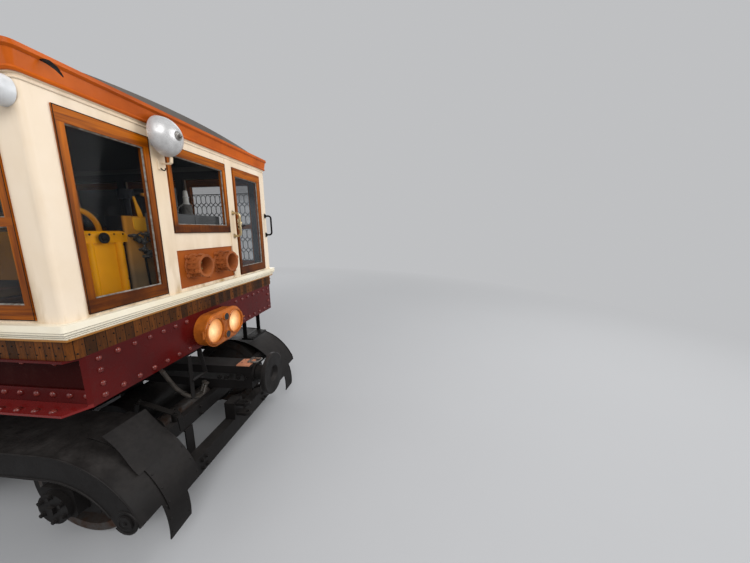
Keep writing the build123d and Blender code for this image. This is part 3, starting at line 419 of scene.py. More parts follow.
# %% [markdown]
# ## Painted steel
# The frame is glossy dark maroon over riveted steel: deep colour, a hard clear highlight and
# dust in broad patches. The bogie is dark grey under oily dirt: almost black low down, with
# brown dust on top of the sheets. Upward faces catch the dust, so its mask reads the normal.

# %% Maroon and bogie paint
GREASE = (0.007, 0.006, 0.0055)


def maroon_paint():
    """Dark maroon paint with dust and dents, with painted shade making the recessed web nearly black and a
    painted highlight making the foot glossy light red.
    """
    finish = Finish("maroon_paint", Coat_Roughness=0.07)
    patches = finish.step(finish.noise(3.5, 6), 0.35, 0.68)
    base = finish.blend(patches, (0.08, 0.004, 0.0035), (0.046, 0.003, 0.003))
    dust = finish.times(finish.step(finish.noise(14, 7, 0.7), 0.52, 0.8), 0.08)
    finish.roughness(patches, 0.18, 0.34)
    dents = finish.noise(18, 2)
    plate_low, plate_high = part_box("end_plates")
    out, ahead = (finish.off(letter) for letter in "YX")
    # Painted shade on the recessed web of the girders, and a painted highlight on their foot.
    web_shade = finish.times(finish.step(out, plate_high.y + 0.013, plate_high.y + 0.016, 1.0, 0.0),
                     finish.sum("LESS_THAN", ahead, face_x - 0.012))
    web_shade = finish.times(web_shade, finish.sum("GREATER_THAN", out, plate_high.y - 0.02))
    foot_highlight = finish.times(finish.step(out, plate_high.y + 0.022, plate_high.y + 0.026),
                        finish.step(finish.axis("Z"), plate_low.z + 0.016, plate_low.z + 0.022, 1.0, 0.0))
    finish.feed("Coat Weight", finish.step(foot_highlight, 0, 1, 0.04, 0.35))
    finish.feed("Specular IOR Level", finish.step(web_shade, 0, 1, 0.12, 0.01))
    base = finish.blend(web_shade, base, (0.024, 0.003, 0.0026))
    base = finish.blend(foot_highlight, base, (0.15, 0.009, 0.008))
    return finish.colour(dust, base, (0.17, 0.075, 0.06)).bump(dents, 0.002, 0.25)


def rivet_paint():
    """The same paint on the rivet heads, lighter red in patches: partly rubbed paint and partly a painted
    highlight.
    """
    finish = Finish("rivet_paint", rough=0.2, Coat_Weight=0.5, Coat_Roughness=0.08)
    worn = finish.step(finish.noise(55, 4), 0.42, 0.7)
    # The lighter red is partly a painted highlight on the domed heads and partly rubbed paint.
    finish.colour(worn, (0.085, 0.007, 0.006), (0.19, 0.035, 0.024))
    return finish.bump(worn, 0.0006, 0.3)


def bogie_paint(name="bogie_paint", base=(0.008, 0.0072, 0.007), dust=(0.056, 0.05, 0.047), rough=0.5):
    """Dark greasy paint with brown dust on upward faces."""
    finish = Finish(name, Specular_IOR_Level=0.09)
    normal = finish.add("ShaderNodeNewGeometry").outputs["Normal"]
    upward = finish.step(finish.axis("Z", normal), 0.2, 1.0, 0.1, 0.85)
    cloud = finish.step(finish.noise(7, 7, 0.65), 0.4, 0.72)
    share = finish.times(upward, finish.step(cloud, 0, 1, 0.25, 0.75))
    grime = finish.step(finish.noise(36, 5, 0.6), 0.45, 0.72, 0.0, 0.35)
    dusty = finish.blend(share, base, dust)
    finish.roughness(cloud, rough - 0.1, rough + 0.18)
    return finish.colour(grime, dusty, GREASE).bump(finish.noise(95, 4), 0.0012, 0.35)


finishes["maroon"] = maroon_paint()
finishes["rivet"] = rivet_paint()
finishes["bogie"] = bogie_paint()
finishes["iron"] = bogie_paint("black_iron", (0.006, 0.0055, 0.0052), (0.024, 0.021, 0.019), 0.42)
print("steel paints ready")

# %% [markdown]
# ## Other paints
# The cornice and the end panel are red brown and the lamp case is copper orange, all brushed
# on. The controllers are ochre. One recipe serves: a base colour, a darker patch colour and
# brush marks, with its own numbers for each.

# %% Brushed paints
def brushed(name, light, dark, rough=0.35, coat=0.05, patch=3.0):
    """Brushed oil paint with cloudy darker patches."""
    finish = Finish(name, Specular_IOR_Level=0.1, Coat_Weight=coat, Coat_Roughness=0.12)
    patches = finish.step(finish.noise(patch, 6, 0.6), 0.36, 0.7)
    specks = finish.step(finish.noise(130, 3), 0.7, 0.78, 0.0, 0.5)
    base = finish.blend(patches, light, dark)
    finish.roughness(patches, rough, rough + 0.15)
    return finish.colour(specks, base, dark).bump(finish.noise(60, 4), 0.001, 0.3)


BRUSHED = {
    "cornice": ("cornice_paint", (0.56, 0.11, 0.005), (0.3, 0.052, 0.005), 0.35, 0.05, 2.0),
    "panel": ("panel_paint", (0.34, 0.084, 0.012), (0.24, 0.054, 0.01), 0.42, 0.03),
    "socket": ("socket_paint", (0.34, 0.1, 0.028), (0.17, 0.045, 0.014), 0.4, 0.05, 9),
    "lamp_case": ("lamp_case_paint", (0.5, 0.135, 0.016), (0.2, 0.048, 0.008), 0.25, 0.3, 7),
    "ochre": ("ochre_paint", (0.9, 0.38, 0.003), (0.66, 0.26, 0.003), 0.3, 0.12, 4),
    "white_lamp": ("silver_white_paint", (0.7, 0.71, 0.72), (0.52, 0.53, 0.54), 0.35, 0.3, 14),
    "pins": ("dull_brass", (0.3, 0.19, 0.07), (0.12, 0.07, 0.03), 0.4, 0.0, 20),
    "putty": ("putty", (0.3, 0.28, 0.25), (0.09, 0.075, 0.06), 0.6, 0.0, 40),
    # Near-black paint for the strips of painted shade round the window frames.
    "gap_shade": ("dark_joint", (0.02, 0.01, 0.006), (0.01, 0.006, 0.004), 0.7, 0.0, 30),
    "pipe": ("weathered_pipe", (0.046, 0.038, 0.031), (0.014, 0.012, 0.01), 0.3, 0.25, 9),
    "pewter": ("pewter", (0.085, 0.08, 0.072), (0.022, 0.02, 0.018), 0.35, 0.1, 30),
    "grey_box": ("grey_cupboard", (0.115, 0.118, 0.12), (0.07, 0.072, 0.074), 0.45, 0.0, 5),
    "porcelain": ("pale_enamel", (0.46, 0.45, 0.42), (0.26, 0.25, 0.23), 0.3, 0.1, 12),
    "light_plate": ("yellow_plate", (0.95, 0.48, 0.03), (0.8, 0.36, 0.02), 0.4, 0.05, 8),
}
for key, recipe in BRUSHED.items():
    finishes[key] = brushed(*recipe)


def roof_canvas():
    """Painted canvas above; faces that look down are nearly black with painted shade."""
    finish = Finish("roof_canvas", rough=0.75)
    clouds = finish.step(finish.noise(1.3, 7, 0.6), 0.36, 0.7)
    base = finish.blend(clouds, (0.3, 0.28, 0.25), (0.17, 0.155, 0.14))
    weave = finish.sum("ADD", *(finish.noise(900, 1, source=finish.stretch(pull))
                                for pull in ((1, 0.15, 1), (0.15, 1, 1))))
    normal = finish.add("ShaderNodeNewGeometry").outputs["Normal"]
    # Painted shade: faces that look down, the ceiling among them, are nearly black.
    above = finish.step(finish.axis("Z", normal), -0.05, 0.05)
    return finish.colour(above, (0.022, 0.02, 0.02), base).bump(weave, 0.0006, 0.5)


finishes["roof"] = roof_canvas()
print("paints", len(finishes))

# %% [markdown]
# ## Bare metal, leather and glass
# The gong is spun metal with fine rings and scuffs. The handles are worn brass. Wheels are rough oily steel.
# Old window glass is modelled as a dark film that lets part of what is behind it through, so that the cab
# shows and the lamps still draw a highlight; the film also darkens the inside, partly as painted shade. The
# end panes and the one behind the wire net are clear, and those beside the equipment space are nearly black,
# painted shade for the dark space behind them.

# %% Metal and glass
def worn_metal(name, metal, noise, limits, rough, light, dark, grain, depth, squeeze=(1, 1, 1)):
    """Metal with rubbed patches where a noise lies between two limits, and a fine grain."""
    finish = Finish(name, metal=metal)
    worn = finish.step(finish.noise(*noise), *limits)
    finish.roughness(worn, *rough)
    relief = finish.noise(*grain, source=finish.stretch(squeeze))
    return finish.colour(worn, light, dark).bump(relief, *depth)


def black_outside(finish):
    """The outer handles were painted black."""
    return finish.cover(finish.sum("GREATER_THAN", finish.off("Y"), 0.7), (0.012, 0.011, 0.011))


def leather(name, light, dark):
    """Creased leather."""
    finish = Finish(name, rough=0.5)
    inputs = {"Vector": finish.place, "Scale": 160}
    cells = finish.add("ShaderNodeTexVoronoi", inputs, feature="DISTANCE_TO_EDGE")
    creases = finish.step(cells.outputs["Distance"], 0.0, 0.12)
    rubbed = finish.step(finish.noise(8, 6), 0.35, 0.7)
    return finish.colour(rubbed, light, dark).bump(creases, 0.0008, 0.5)


FACE_PANES = face_x - 0.05
EQUIPMENT_END = 4.12
CAB_START = 2.56


def window_glass():
    """Old glass: clear at the ends, smoky in the saloon and nearly black beside the equipment; the smoke is
    partly and the black wholly painted shade of the inside.
    """
    finish = Finish("window_glass", IOR=1.5, Specular_IOR_Level=0.22)
    along = finish.off("X")
    clear = finish.sum("GREATER_THAN", along, FACE_PANES)
    cab = finish.sum("GREATER_THAN", along, CAB_START)
    equipment_shade = finish.times(cab, finish.sum("LESS_THAN", along, EQUIPMENT_END))
    same_side = finish.times(finish.axis("X"), finish.axis("Y"))
    guarded = finish.sum("GREATER_THAN", same_side, EQUIPMENT_END * 0.95)
    guarded = finish.times(guarded, finish.sum("SUBTRACT", 1.0, clear))
    # Painted shade: the less glass lets through, the darker the inside looks, and the panes beside the
    # equipment are nearly black.
    alpha = 0.42
    for share, change in ((clear, -0.32), (guarded, -0.2), (equipment_shade, 0.5)):
        alpha = finish.sum("ADD", alpha, finish.times(share, change))
    finish.feed("Alpha", alpha)
    smear = finish.step(finish.noise(6, 5, 0.6), 0.45, 0.75)
    finish.roughness(smear, 0.02, 0.09)
    return finish.colour(smear, (0.01, 0.012, 0.014), (0.03, 0.033, 0.034))


finishes["bell"] = worn_metal(
    "bell_metal", 0.45, (22, 7, 0.7), (0.4, 0.72), (0.27, 0.48), (0.62, 0.615, 0.61), (0.44, 0.435, 0.43),
    (240, 3), (0.0004, 0.3), (0.2, 1, 1))
finishes["brass"] = black_outside(worn_metal(
    "worn_brass", 0.9, (30, 5), (0.4, 0.65), (0.2, 0.45), (0.62, 0.5, 0.29), (0.3, 0.22, 0.11),
    (200, 3), (0.0003, 0.3)))
finishes["wheel"] = worn_metal(
    "wheel_steel", 0.6, (12, 7, 0.65), (0.42, 0.7), (0.36, 0.7), (0.075, 0.07, 0.066), (0.06, 0.03, 0.018),
    (80, 5), (0.001, 0.4))
finishes["steel"] = worn_metal(
    "bright_steel", 0.85, (40, 6), (0.4, 0.7), (0.3, 0.55), (0.36, 0.35, 0.33), (0.13, 0.115, 0.1),
    (160, 3), (0.0004, 0.3))
finishes["leather"] = leather("ochre_leather", (0.42, 0.24, 0.075), (0.26, 0.13, 0.04))
finishes["strap"] = leather("tan_strap", (0.55, 0.24, 0.14), (0.38, 0.15, 0.085))
finishes["glass"] = window_glass()
print("finishes", len(finishes))

# %% [markdown]
# ## Door glass
# The cab door's pane is dusty low down, which makes it pale, and clear and dark above chest
# height. The change follows the height. What stands behind it must still show through.

# %% Door glass
GUARD_TOP = rail_top + 2.22


def door_glass():
    """Dusty pale glass low down, clear and dark above."""
    finish = Finish("door_glass", rough=0.08, Specular_IOR_Level=0.22)
    dusty = finish.step(finish.axis("Z"), GUARD_TOP - 0.1, GUARD_TOP + 0.02, 1.0, 0.0)
    cloud = finish.step(finish.noise(5, 5), 0.35, 0.7, 0.75, 1.0)
    finish.feed("Alpha", finish.step(finish.times(dusty, cloud), 0, 1, 0.36, 0.15))
    return finish.colour(dusty, (0.03, 0.034, 0.04), (0.12, 0.135, 0.15))


finishes["lattice"] = door_glass()
print("guard top", GUARD_TOP)

# %% [markdown]
# ## Lit lamps
# The headlamps burn with a warm light. A lamp in a deep reflector is brightest at its middle
# and amber at its edge, so the colour and the glow follow the distance from the lens centre.

# %% Lamp lens
lamp_low, lamp_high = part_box("headlamps")
lens_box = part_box("headlamp_lenses")
LAMP_Z = (lamp_low.z + lamp_high.z) / 2
LAMP_Y = -0.015
LENS_EDGE = (lens_box[1].z - lens_box[0].z) / 2
LENS_PITCH = (lens_box[1].y - lens_box[0].y) - (lens_box[1].z - lens_box[0].z) - 2 * abs(LAMP_Y)


def from_lamp_middle(finish):
    """Distance across the car from the lamp's middle, which lies a little to one side at each end."""
    end = finish.sum("SIGN", finish.axis("X"))
    return finish.sum("SUBTRACT", finish.times(finish.axis("Y"), end), LAMP_Y)


def from_spot(finish, side, up):
    """Length of the slope whose two legs are given."""
    return finish.sum("SQRT", finish.sum("ADD", finish.times(side, side), finish.times(up, up)))


def lamp_lens():
    """Glowing glass, brightest near the bulb and dark where it meets its rim."""
    finish = Finish("lamp_lens", rough=0.15, Coat_Weight=0.6, Coat_Roughness=0.03)
    across = from_lamp_middle(finish)
    side = finish.sum("SUBTRACT", finish.sum("ABSOLUTE", across), LENS_PITCH / 2)
    up = finish.sum("SUBTRACT", finish.axis("Z"), LAMP_Z)
    radius = from_spot(finish, side, up)
    bulb = from_spot(finish, finish.sum("ADD", side, finish.step(across, -0.01, 0.01, -0.022, 0.022)), up)
    ring = finish.step(bulb, 0.006, 0.088)
    warm = finish.blend(ring, (1.0, 0.76, 0.4), (0.9, 0.29, 0.05))
    finish.feed("Emission Color", warm)
    facets = finish.noise(34, 3, 0.6)
    glow = finish.times(finish.step(ring, 0, 1, 0.96, 0.38), finish.step(facets, 0.35, 0.65, 0.75, 1.15))
    glow = finish.times(glow, finish.step(radius, LENS_EDGE - 0.008, LENS_EDGE - 0.002, 1.0, 0.25))
    finish.feed("Emission Strength", glow)
    return finish.colour(ring, (0.5, 0.3, 0.14), (0.4, 0.15, 0.04)).bump(facets, 0.001, 0.4)


finishes["lens"] = lamp_lens()


def dark_knobs(finish):
    """Make the ends of the two knobs between the lenses black."""
    up = finish.apart(finish.apart(finish.axis("Z"), LAMP_Z), KNOB_PITCH / 2)
    away = from_spot(finish, up, from_lamp_middle(finish))
    ahead = finish.step(finish.off("X"), lamp_high.x - 0.006, lamp_high.x - 0.004)
    knob = finish.times(ahead, finish.step(away, KNOB_HALF, KNOB_HALF + 0.002, 1.0, 0.0))
    finish.cover(knob, (0.018, 0.017, 0.017))


KNOB_PITCH, KNOB_HALF = 0.15, 0.027
dark_knobs(finishes["lamp_case"])
print("lens pitch", round(LENS_PITCH, 3), "height", round(LAMP_Z, 3))

# %% [markdown]
# ## Dressing the frame
# A node takes its finish by the start of its name, and the longest start that fits wins. So
# the doors are varnished and their panes are glass.

# %% Give each CAD node its finish
NODE_STARTS = {
    "maroon": "side_girders end_frames centre_frame end_plates", "floor": "floors", "planks": "plank_bands",
    "sill": "sill_moulding", "cream": "side_wall end_wall", "varnish": "window_sashes cab_door saloon_door",
    "glass": "window_panes saloon_door_pane", "lattice": "cab_door_pane", "panel": "end_panels",
    "socket": "cable_sockets", "roof": "roof", "cornice": "cornice", "bulkhead": "bulkheads",
    "bench": "saloon_benches", "leather": "cab_seats", "ochre": "controllers brake_stands",
    "lamp_case": "headlamps", "lens": "headlamp_lenses", "bell": "bells", "brass": "grab_handles",
    "iron": "cab_steps door_rails collector_bases motor", "white_lamp": "corner_lamps", "steel": "collector",
    "wheel": "wheelset", "bogie": "bogie_frame axleboxes fenders draw_beam buffer guard_beam coupling",
}
NODE_FINISH = {start: key for key, starts in NODE_STARTS.items() for start in starts.split()}


def finish_of(name):
    """The finish of the longest start that fits a node's name."""
    starts = [start for start in NODE_FINISH if name.startswith(start)]
    return finishes[NODE_FINISH[max(starts, key=len)]]


def dress(piece, finish):
    piece.data.materials.clear()
    piece.data.materials.append(finish.material)


for name, node in nodes.items():
    for slot in range(len(node.material_slots)):
        node.material_slots[slot].material = finish_of(name).material
    if not node.material_slots:
        dress(node, finish_of(name))


def stage_paint(name, colour, near, far):
    """Matt pale paint near the car, that turns into the world's own colour far from it."""
    finish = Finish(name, rough=0.9, Specular_IOR_Level=0.0)
    finish.colour(finish.noise(0.8, 3), colour, [0.96 * part for part in colour])
    glow = finish.add("ShaderNodeEmission", {"Color": (*WORLD_COLOUR, 1), "Strength": WORLD_STRENGTH})
    away = finish.add("ShaderNodeVectorMath", {0: finish.place}, operation="LENGTH")
    share = finish.step(away.outputs["Value"], near, far)
    mix = finish.add("ShaderNodeMixShader", {"Fac": share, 1: finish.shader.outputs[0], 2: glow.outputs[0]})
    finish.join(mix.outputs[0], finish.tree.nodes["Material Output"].inputs["Surface"])
    return finish


dress(floor, stage_paint("floor_paint", (0.46, 0.465, 0.475), 5.5, 13.0))
print("dressed", len(nodes), "nodes")

# %% [markdown]
# ## Tools for shaping
# Every added piece is a closed mesh built from a few kinds of form: a slab between two
# corners, a tube along a path, a turned form round an axis, and an outline pushed along a
# line. A small bevel then breaks the edges, as a file or a foundry would.

# %% Mesh tools
AHEAD, ACROSS, UP = (1, 0, 0), (0, 1, 0), (0, 0, 1)
SIDES, ENDS = (-1, 1), ("front", "rear")


def slab(shape, low, high):
    """Box between two corners."""
    spots = [(x, y, z) for x in (low[0], high[0]) for y in (low[1], high[1]) for z in (low[2], high[2])]
    corners = [shape.verts.new(spot) for spot in spots]
    for side in ((0, 1, 3, 2), (4, 6, 7, 5), (0, 4, 5, 1), (2, 3, 7, 6), (0, 2, 6, 4), (1, 5, 7, 3)):
        shape.faces.new([corners[index] for index in side])


def loft(shape, rings, closed=False):
    """Faces between rings of equally many points, with flat ends."""
    made = [[shape.verts.new(point) for point in ring] for ring in rings]
    pairs = list(zip(made, made[1:] + made[:1])) if closed else list(zip(made, made[1:]))
    for a, b in pairs:
        for index in range(len(a)):
            following = (index + 1) % len(a)
            shape.faces.new((a[index], a[following], b[following], b[index]))
    if not closed:
        shape.faces.new(made[0][::-1])
        shape.faces.new(made[-1])


def circle(centre, radius, across, other, sides):
    """Points round a circle in the plane of two directions."""
    turns = [2 * pi * step / sides for step in range(sides)]
    return [centre + radius * (cos(turn) * across + sin(turn) * other) for turn in turns]


def tube(shape, points, radius, sides=12, closed=False):
    """Round bar along a path of points."""
    points = [Vector(point) for point in points]
    count = len(points)
    rings, across = [], None
    for index, point in enumerate(points):
        before = points[index - 1] if index or closed else point
        after = points[(index + 1) % count] if index < count - 1 or closed else point
        ahead = (after - before).normalized()
        if across is None:
            across = ahead.orthogonal().normalized()
        across = (across - across.dot(ahead) * ahead).normalized()
        rings.append(circle(point, radius, across, ahead.cross(across), sides))
    loft(shape, rings, closed)


def lathe(shape, profile, place, axis, sides=32, closed=False):
    """Turned form: profile is pairs of (distance along the axis, radius). Closed makes a ring."""
    axis = Vector(axis).normalized()
    across = axis.orthogonal().normalized()
    rings = [circle(Vector(place) + along * axis, max(radius, 1e-4), across, axis.cross(across), sides)
             for along, radius in profile]
    loft(shape, rings, closed)


def push(shape, outline, depth):
    """Flat outline pushed along a vector."""
    depth = Vector(depth)
    loft(shape, [[Vector(point) for point in outline], [Vector(point) + depth for point in outline]])


def spots_from(base, spots):
    """Spots that are given from a base, as spots of the car."""
    return [tuple(start + step for start, step in zip(base, spot)) for spot in spots]


HALF_TURN = Matrix.Rotation(pi, 3, "Z")


def half_turn(shape, points):
    bmesh.ops.rotate(shape, verts=points, cent=(0, 0, 0), matrix=HALF_TURN)


def piece(name, build, finish, body, bevel=0.0, angle=35, both_ends=False, turned=False):
    """Object from a function that fills a bmesh, riding a body of the frame."""
    shape = bmesh.new()
    build(shape)
    if both_ends:
        copy = bmesh.ops.duplicate(shape, geom=shape.verts[:] + shape.edges[:] + shape.faces[:])
        half_turn(shape, [item for item in copy["geom"] if isinstance(item, bmesh.types.BMVert)])
    if turned:
        half_turn(shape, shape.verts[:])
    bmesh.ops.remove_doubles(shape, verts=shape.verts, dist=1e-5)
    bmesh.ops.recalc_face_normals(shape, faces=shape.faces)
    mesh = bpy.data.meshes.new(name)
    shape.to_mesh(mesh)
    shape.free()
    mesh.shade_smooth()
    mesh.set_sharp_from_angle(angle=radians(angle))
    made = new_object(name, mesh)
    dress(made, finishes[finish])
    if bevel:
        edges = made.modifiers.new("bevel", "BEVEL")
        edges.width = bevel
        edges.segments = 2
        edges.limit_method = "ANGLE"
        edges.angle_limit = radians(50)
        edges.harden_normals = True
    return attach(made, body)


def at_both_ends(build, finish, **settings):
    """One piece named after its function, with a copy turned half round to the rear."""
    return piece(build.__name__, build, finish, "car", both_ends=True, **settings)


def at_each_end(build, finish, body, **settings):
    """The same piece on the front and the rear one of a pair of bodies."""
    for end in ENDS:
        piece(f"{build.__name__}_{end}", build, finish, f"{body}_{end}", turned=end == "rear", **settings)


def arc(centre, radius, start, stop, steps, first, second):
    """Points along an arc, angles in degrees, in the plane of two axes."""
    first, second = Vector(first), Vector(second)
    points = []
    for step in range(steps + 1):
        turn = radians(start + (stop - start) * step / steps)
        points.append(Vector(centre) + radius * (cos(turn) * first + sin(turn) * second))
    return points


print("mesh tools ready")

# %% [markdown]
# ## Trees that repeat small parts
# Rivets, bolts and nails are set out as bare points, each with the direction that it faces.
# A Geometry Nodes tree puts one small head on every point and turns it to that direction.
# Each head is a little larger or smaller, because they were closed by hand.

# %% Geometry Nodes helpers
class Tree(Network):
    """A Geometry Nodes tree with its sizes and its finish as inputs."""

    def __init__(self, name, sizes):
        super().__init__(bpy.data.node_groups.new(name, "GeometryNodeTree"))
        face = self.tree.interface
        face.new_socket("Geometry", in_out="OUTPUT", socket_type="NodeSocketGeometry")
        face.new_socket("Geometry", in_out="INPUT", socket_type="NodeSocketGeometry")
        for size, start in sizes.items():
            face.new_socket(size, in_out="INPUT", socket_type="NodeSocketFloat").default_value = start
        face.new_socket("Finish", in_out="INPUT", socket_type="NodeSocketMaterial")
        self.inputs = self.add("NodeGroupInput").outputs
        self.out = self.add("NodeGroupOutput").inputs["Geometry"]

    def geometry(self, kind, inputs):
        """First output of a new Geometry Node."""
        return self.add("GeometryNode" + kind, inputs).outputs[0]

    def vector(self, x, y, z):
        return self.add("ShaderNodeCombineXYZ", {"X": x, "Y": y, "Z": z}).outputs[0]

    def close(self, geometry):
        """Realize the instances and give them their finish."""
        real = self.geometry("RealizeInstances", {"Geometry": geometry})
        done = self.geometry("SetMaterial", {"Geometry": real, "Material": self.inputs["Finish"]})
        self.join(done, self.out)
        return self.tree


def heads_on_points(tree, head, spread, seed):
    """Put a head on each point, turned to its facing, with a little spread in size."""
    facing = tree.add("GeometryNodeInputNamedAttribute", {"Name": "facing"}, data_type="FLOAT_VECTOR")
    turn = tree.add("FunctionNodeAlignRotationToVector", {"Vector": facing.outputs[0]}, axis="Z")
    size = tree.add("FunctionNodeRandomValue", data_type="FLOAT")
    for key, value in (("Min", 1 - spread), ("Max", 1 + spread), ("Seed", seed)):
        socket = [item for item in size.inputs if item.name == key and item.enabled][0]
        socket.default_value = value
    result = [item for item in size.outputs if item.enabled][0]
    return tree.close(tree.geometry("InstanceOnPoints", {
        "Points": tree.inputs["Geometry"], "Instance": head, "Rotation": turn.outputs[0], "Scale": result}))


def rivet_tree():
    """Dome with a flat rim, as a riveting hammer leaves it."""
    tree = Tree("rivet_heads", {"Radius": 0.016, "Height": 0.011})
    radius, height = tree.inputs["Radius"], tree.inputs["Height"]
    ball = tree.geometry("MeshUVSphere", {"Segments": 14, "Rings": 9, "Radius": radius})
    flat = tree.vector(1.0, 1.0, tree.sum("DIVIDE", height, radius))
    dome = tree.geometry("Transform", {"Geometry": ball, "Scale": flat})
    return heads_on_points(tree, tree.geometry("SetShadeSmooth", {"Geometry": dome}), 0.07, 3)


def bolt_tree():
    """Six-sided head on a round washer."""
    tree = Tree("bolt_heads", {"Radius": 0.012, "Height": 0.009})
    radius, height = tree.inputs["Radius"], tree.inputs["Height"]
    wide, thick, tall = tree.times(radius, 1.45), tree.times(height, 0.6), tree.times(height, 1.6)
    washer = tree.geometry("MeshCylinder", {"Vertices": 18, "Radius": wide, "Depth": thick})
    nut = tree.geometry("MeshCylinder", {"Vertices": 6, "Radius": radius, "Depth": tall})
    lift = tree.vector(0.0, 0.0, tree.times(height, 0.8))
    both = tree.add("GeometryNodeJoinGeometry")
    for part in (washer, tree.geometry("Transform", {"Geometry": nut, "Translation": lift})):
        tree.join(part, both.inputs[0])
    return heads_on_points(tree, both.outputs[0], 0.04, 5)


def nail_tree():
    """Low round nail head."""
    tree = Tree("nail_heads", {"Radius": 0.0045, "Height": 0.0016})
    radius, height = tree.inputs["Radius"], tree.inputs["Height"]
    head = tree.geometry("MeshCone", {
        "Vertices": 10, "Radius Top": tree.times(radius, 0.6), "Radius Bottom": radius, "Depth": height})
    return heads_on_points(tree, head, 0.2, 7)


def grow(name, group, mesh, sizes, finish, body):
    """Run a tree on a mesh of points and keep the result as a plain mesh."""
    source = new_object(name + "_points", mesh)
    modifier = source.modifiers.new("tree", "NODES")
    modifier.node_group = group
    values = dict(sizes, Finish=finishes[finish].material)
    for item in group.interface.items_tree:
        if item.item_type == "SOCKET" and item.in_out == "INPUT" and item.name in values:
            modifier[item.identifier] = values[item.name]
    solid = source.evaluated_get(bpy.context.evaluated_depsgraph_get())
    plain = bpy.data.meshes.new_from_object(solid)
    plain.name = name
    bpy.data.objects.remove(source)
    made = new_object(name, plain)
    print(name, len(mesh.vertices), "points,", len(plain.polygons), "faces")
    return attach(made, body)


def points_mesh(name, spots):
    """Mesh of bare points from pairs of place and facing."""
    mesh = bpy.data.meshes.new(name)
    mesh.from_pydata([tuple(place) for place, facing in spots], [], [])
    attribute = mesh.attributes.new("facing", "FLOAT_VECTOR", "POINT")
    for item, (place, facing) in zip(attribute.data, spots):
        item.vector = facing
    return mesh


def row(start, end, pitch, facing):
    """Evenly spaced places from start to end, about a pitch apart."""
    start, end = Vector(start), Vector(end)
    count = max(1, round((end - start).length / pitch))
    return [(start.lerp(end, step / count), Vector(facing)) for step in range(count + 1)]


def carried(spots, matrix):
    return [(matrix @ Vector(place), matrix @ Vector(facing)) for place, facing in spots]


def all_round(spots):
    """The places at the front and the same at the rear, turned half round."""
    return spots + carried(spots, HALF_TURN)


def both_sides(spots):
    """The places on one side and their mirror images on the other."""
    return spots + carried(spots, Matrix.Scale(-1, 3, ACROSS))


def bolt_circle(centre, radius, start, step):
    """Spots round a circle that faces ahead, from a first angle in equal steps of degrees."""
    turns = [radians(turn) for turn in range(start, start + 360, step)]
    return spots_from(centre, [(0, radius * cos(turn), radius * sin(turn)) for turn in turns])


def two_circles(centre, apart, radius):
    """Four heads round each of two rings that lie side by side, at both ends of the car."""
    x, y, z = centre
    spots = [spot for side in SIDES for spot in bolt_circle((x, y + side * apart, z), radius, 45, 90)]
    return all_round([(spot, AHEAD) for spot in spots])


def heads(name, kind, spots, radius, height, finish, body="car"):
    """One head on each spot. The size is that of an average head."""
    grow(name, kind, points_mesh(name + "_spots", spots), {"Radius": radius, "Height": height}, finish, body)


def heads_each_end(name, kind, spots, radius, height, finish, body):
    """The same heads on the front and the rear one of a pair of bodies."""
    for end, places in (("front", spots), ("rear", carried(spots, HALF_TURN))):
        heads(f"{name}_{end}", kind, places, radius, height, finish, f"{body}_{end}")


rivets, bolts, nails = rivet_tree(), bolt_tree(), nail_tree()
print("trees", [group.name for group in (rivets, bolts, nails)])

# %% [markdown]
# ## Rivets on the frame
# The frame is hot riveted: the end plate has a row of heads along its top and one along its
# bottom, joined by a short column at each corner, and the channel's foot is riveted to an
# angle. The heads are about 100 mm apart. None stands behind the headlamp.

# %% Rivets
plate_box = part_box("end_plates")
girder_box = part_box("side_girders")
lamp_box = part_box("headlamps")
PLATE_HALF = plate_box[1].y
FRAME_LOW, FRAME_HIGH = plate_box[0].z, plate_box[1].z
GIRDER_OUT = girder_box[1].y
LOW_FRAME = (girder_box[0].z, girder_box[0].z + 0.24)
NECK_X = 2.65
NECK_WIDE = 0.24
WEB_Y = PLATE_HALF + 0.01
LEG_Y = WEB_Y + 0.01
EDGE = 0.036
RIVET_PITCH = 0.1


def frame_rivets():
    """Places of all rivets on the frame."""
    half = PLATE_HALF - EDGE
    end = []
    for height in (FRAME_LOW + EDGE, FRAME_HIGH - EDGE):
        end += row((face_x, -half, height), (face_x, half, height), RIVET_PITCH, AHEAD)
    clear = lamp_box[1].y + 0.02
    end = [(place, facing) for place, facing in end if abs(place.y) > clear]
    for side in (-half, half):
        end += row((face_x, side, FRAME_LOW + 0.1), (face_x, side, FRAME_HIGH - 0.1), 0.07, AHEAD)
    corner, neck, upper = face_x - EDGE, NECK_X + 0.05, FRAME_HIGH - 0.05
    lip, inset = FRAME_LOW + 0.012, GIRDER_OUT - 0.028
    side = row((NECK_X, LEG_Y, FRAME_LOW + 0.055), (corner, LEG_Y, FRAME_LOW + 0.055), RIVET_PITCH, ACROSS)
    side += row((corner, WEB_Y, FRAME_LOW + 0.12), (corner, WEB_Y, upper), 0.06, ACROSS)
    side += row((neck, WEB_Y, upper), (face_x - 0.2, WEB_Y, upper), 0.2, ACROSS)
    side += row((neck, inset, lip), (face_x - 0.14, inset, lip), RIVET_PITCH, UP)
    for x in (NECK_X - 0.045, NECK_X - NECK_WIDE + 0.045):
        side += row((x, WEB_Y, LOW_FRAME[1] + 0.05), (x, WEB_Y, FRAME_LOW - 0.02), RIVET_PITCH, ACROSS)
    for height in (LOW_FRAME[0] + 0.05, LOW_FRAME[1] - 0.05):
        side += row((0.05, WEB_Y, height), (NECK_X - 0.3, WEB_Y, height), RIVET_PITCH, ACROSS)
    return all_round(end + both_sides(side))


heads("frame_rivets", rivets, frame_rivets(), 0.0165, 0.012, "rivet")

# %% [markdown]
# ## Nails in the planks
# Each short board is held to the frame by two nails, one high and one low, set a little to
# one side, so that the heads zigzag along the band.

# %% Nails
plank_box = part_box("plank_bands")


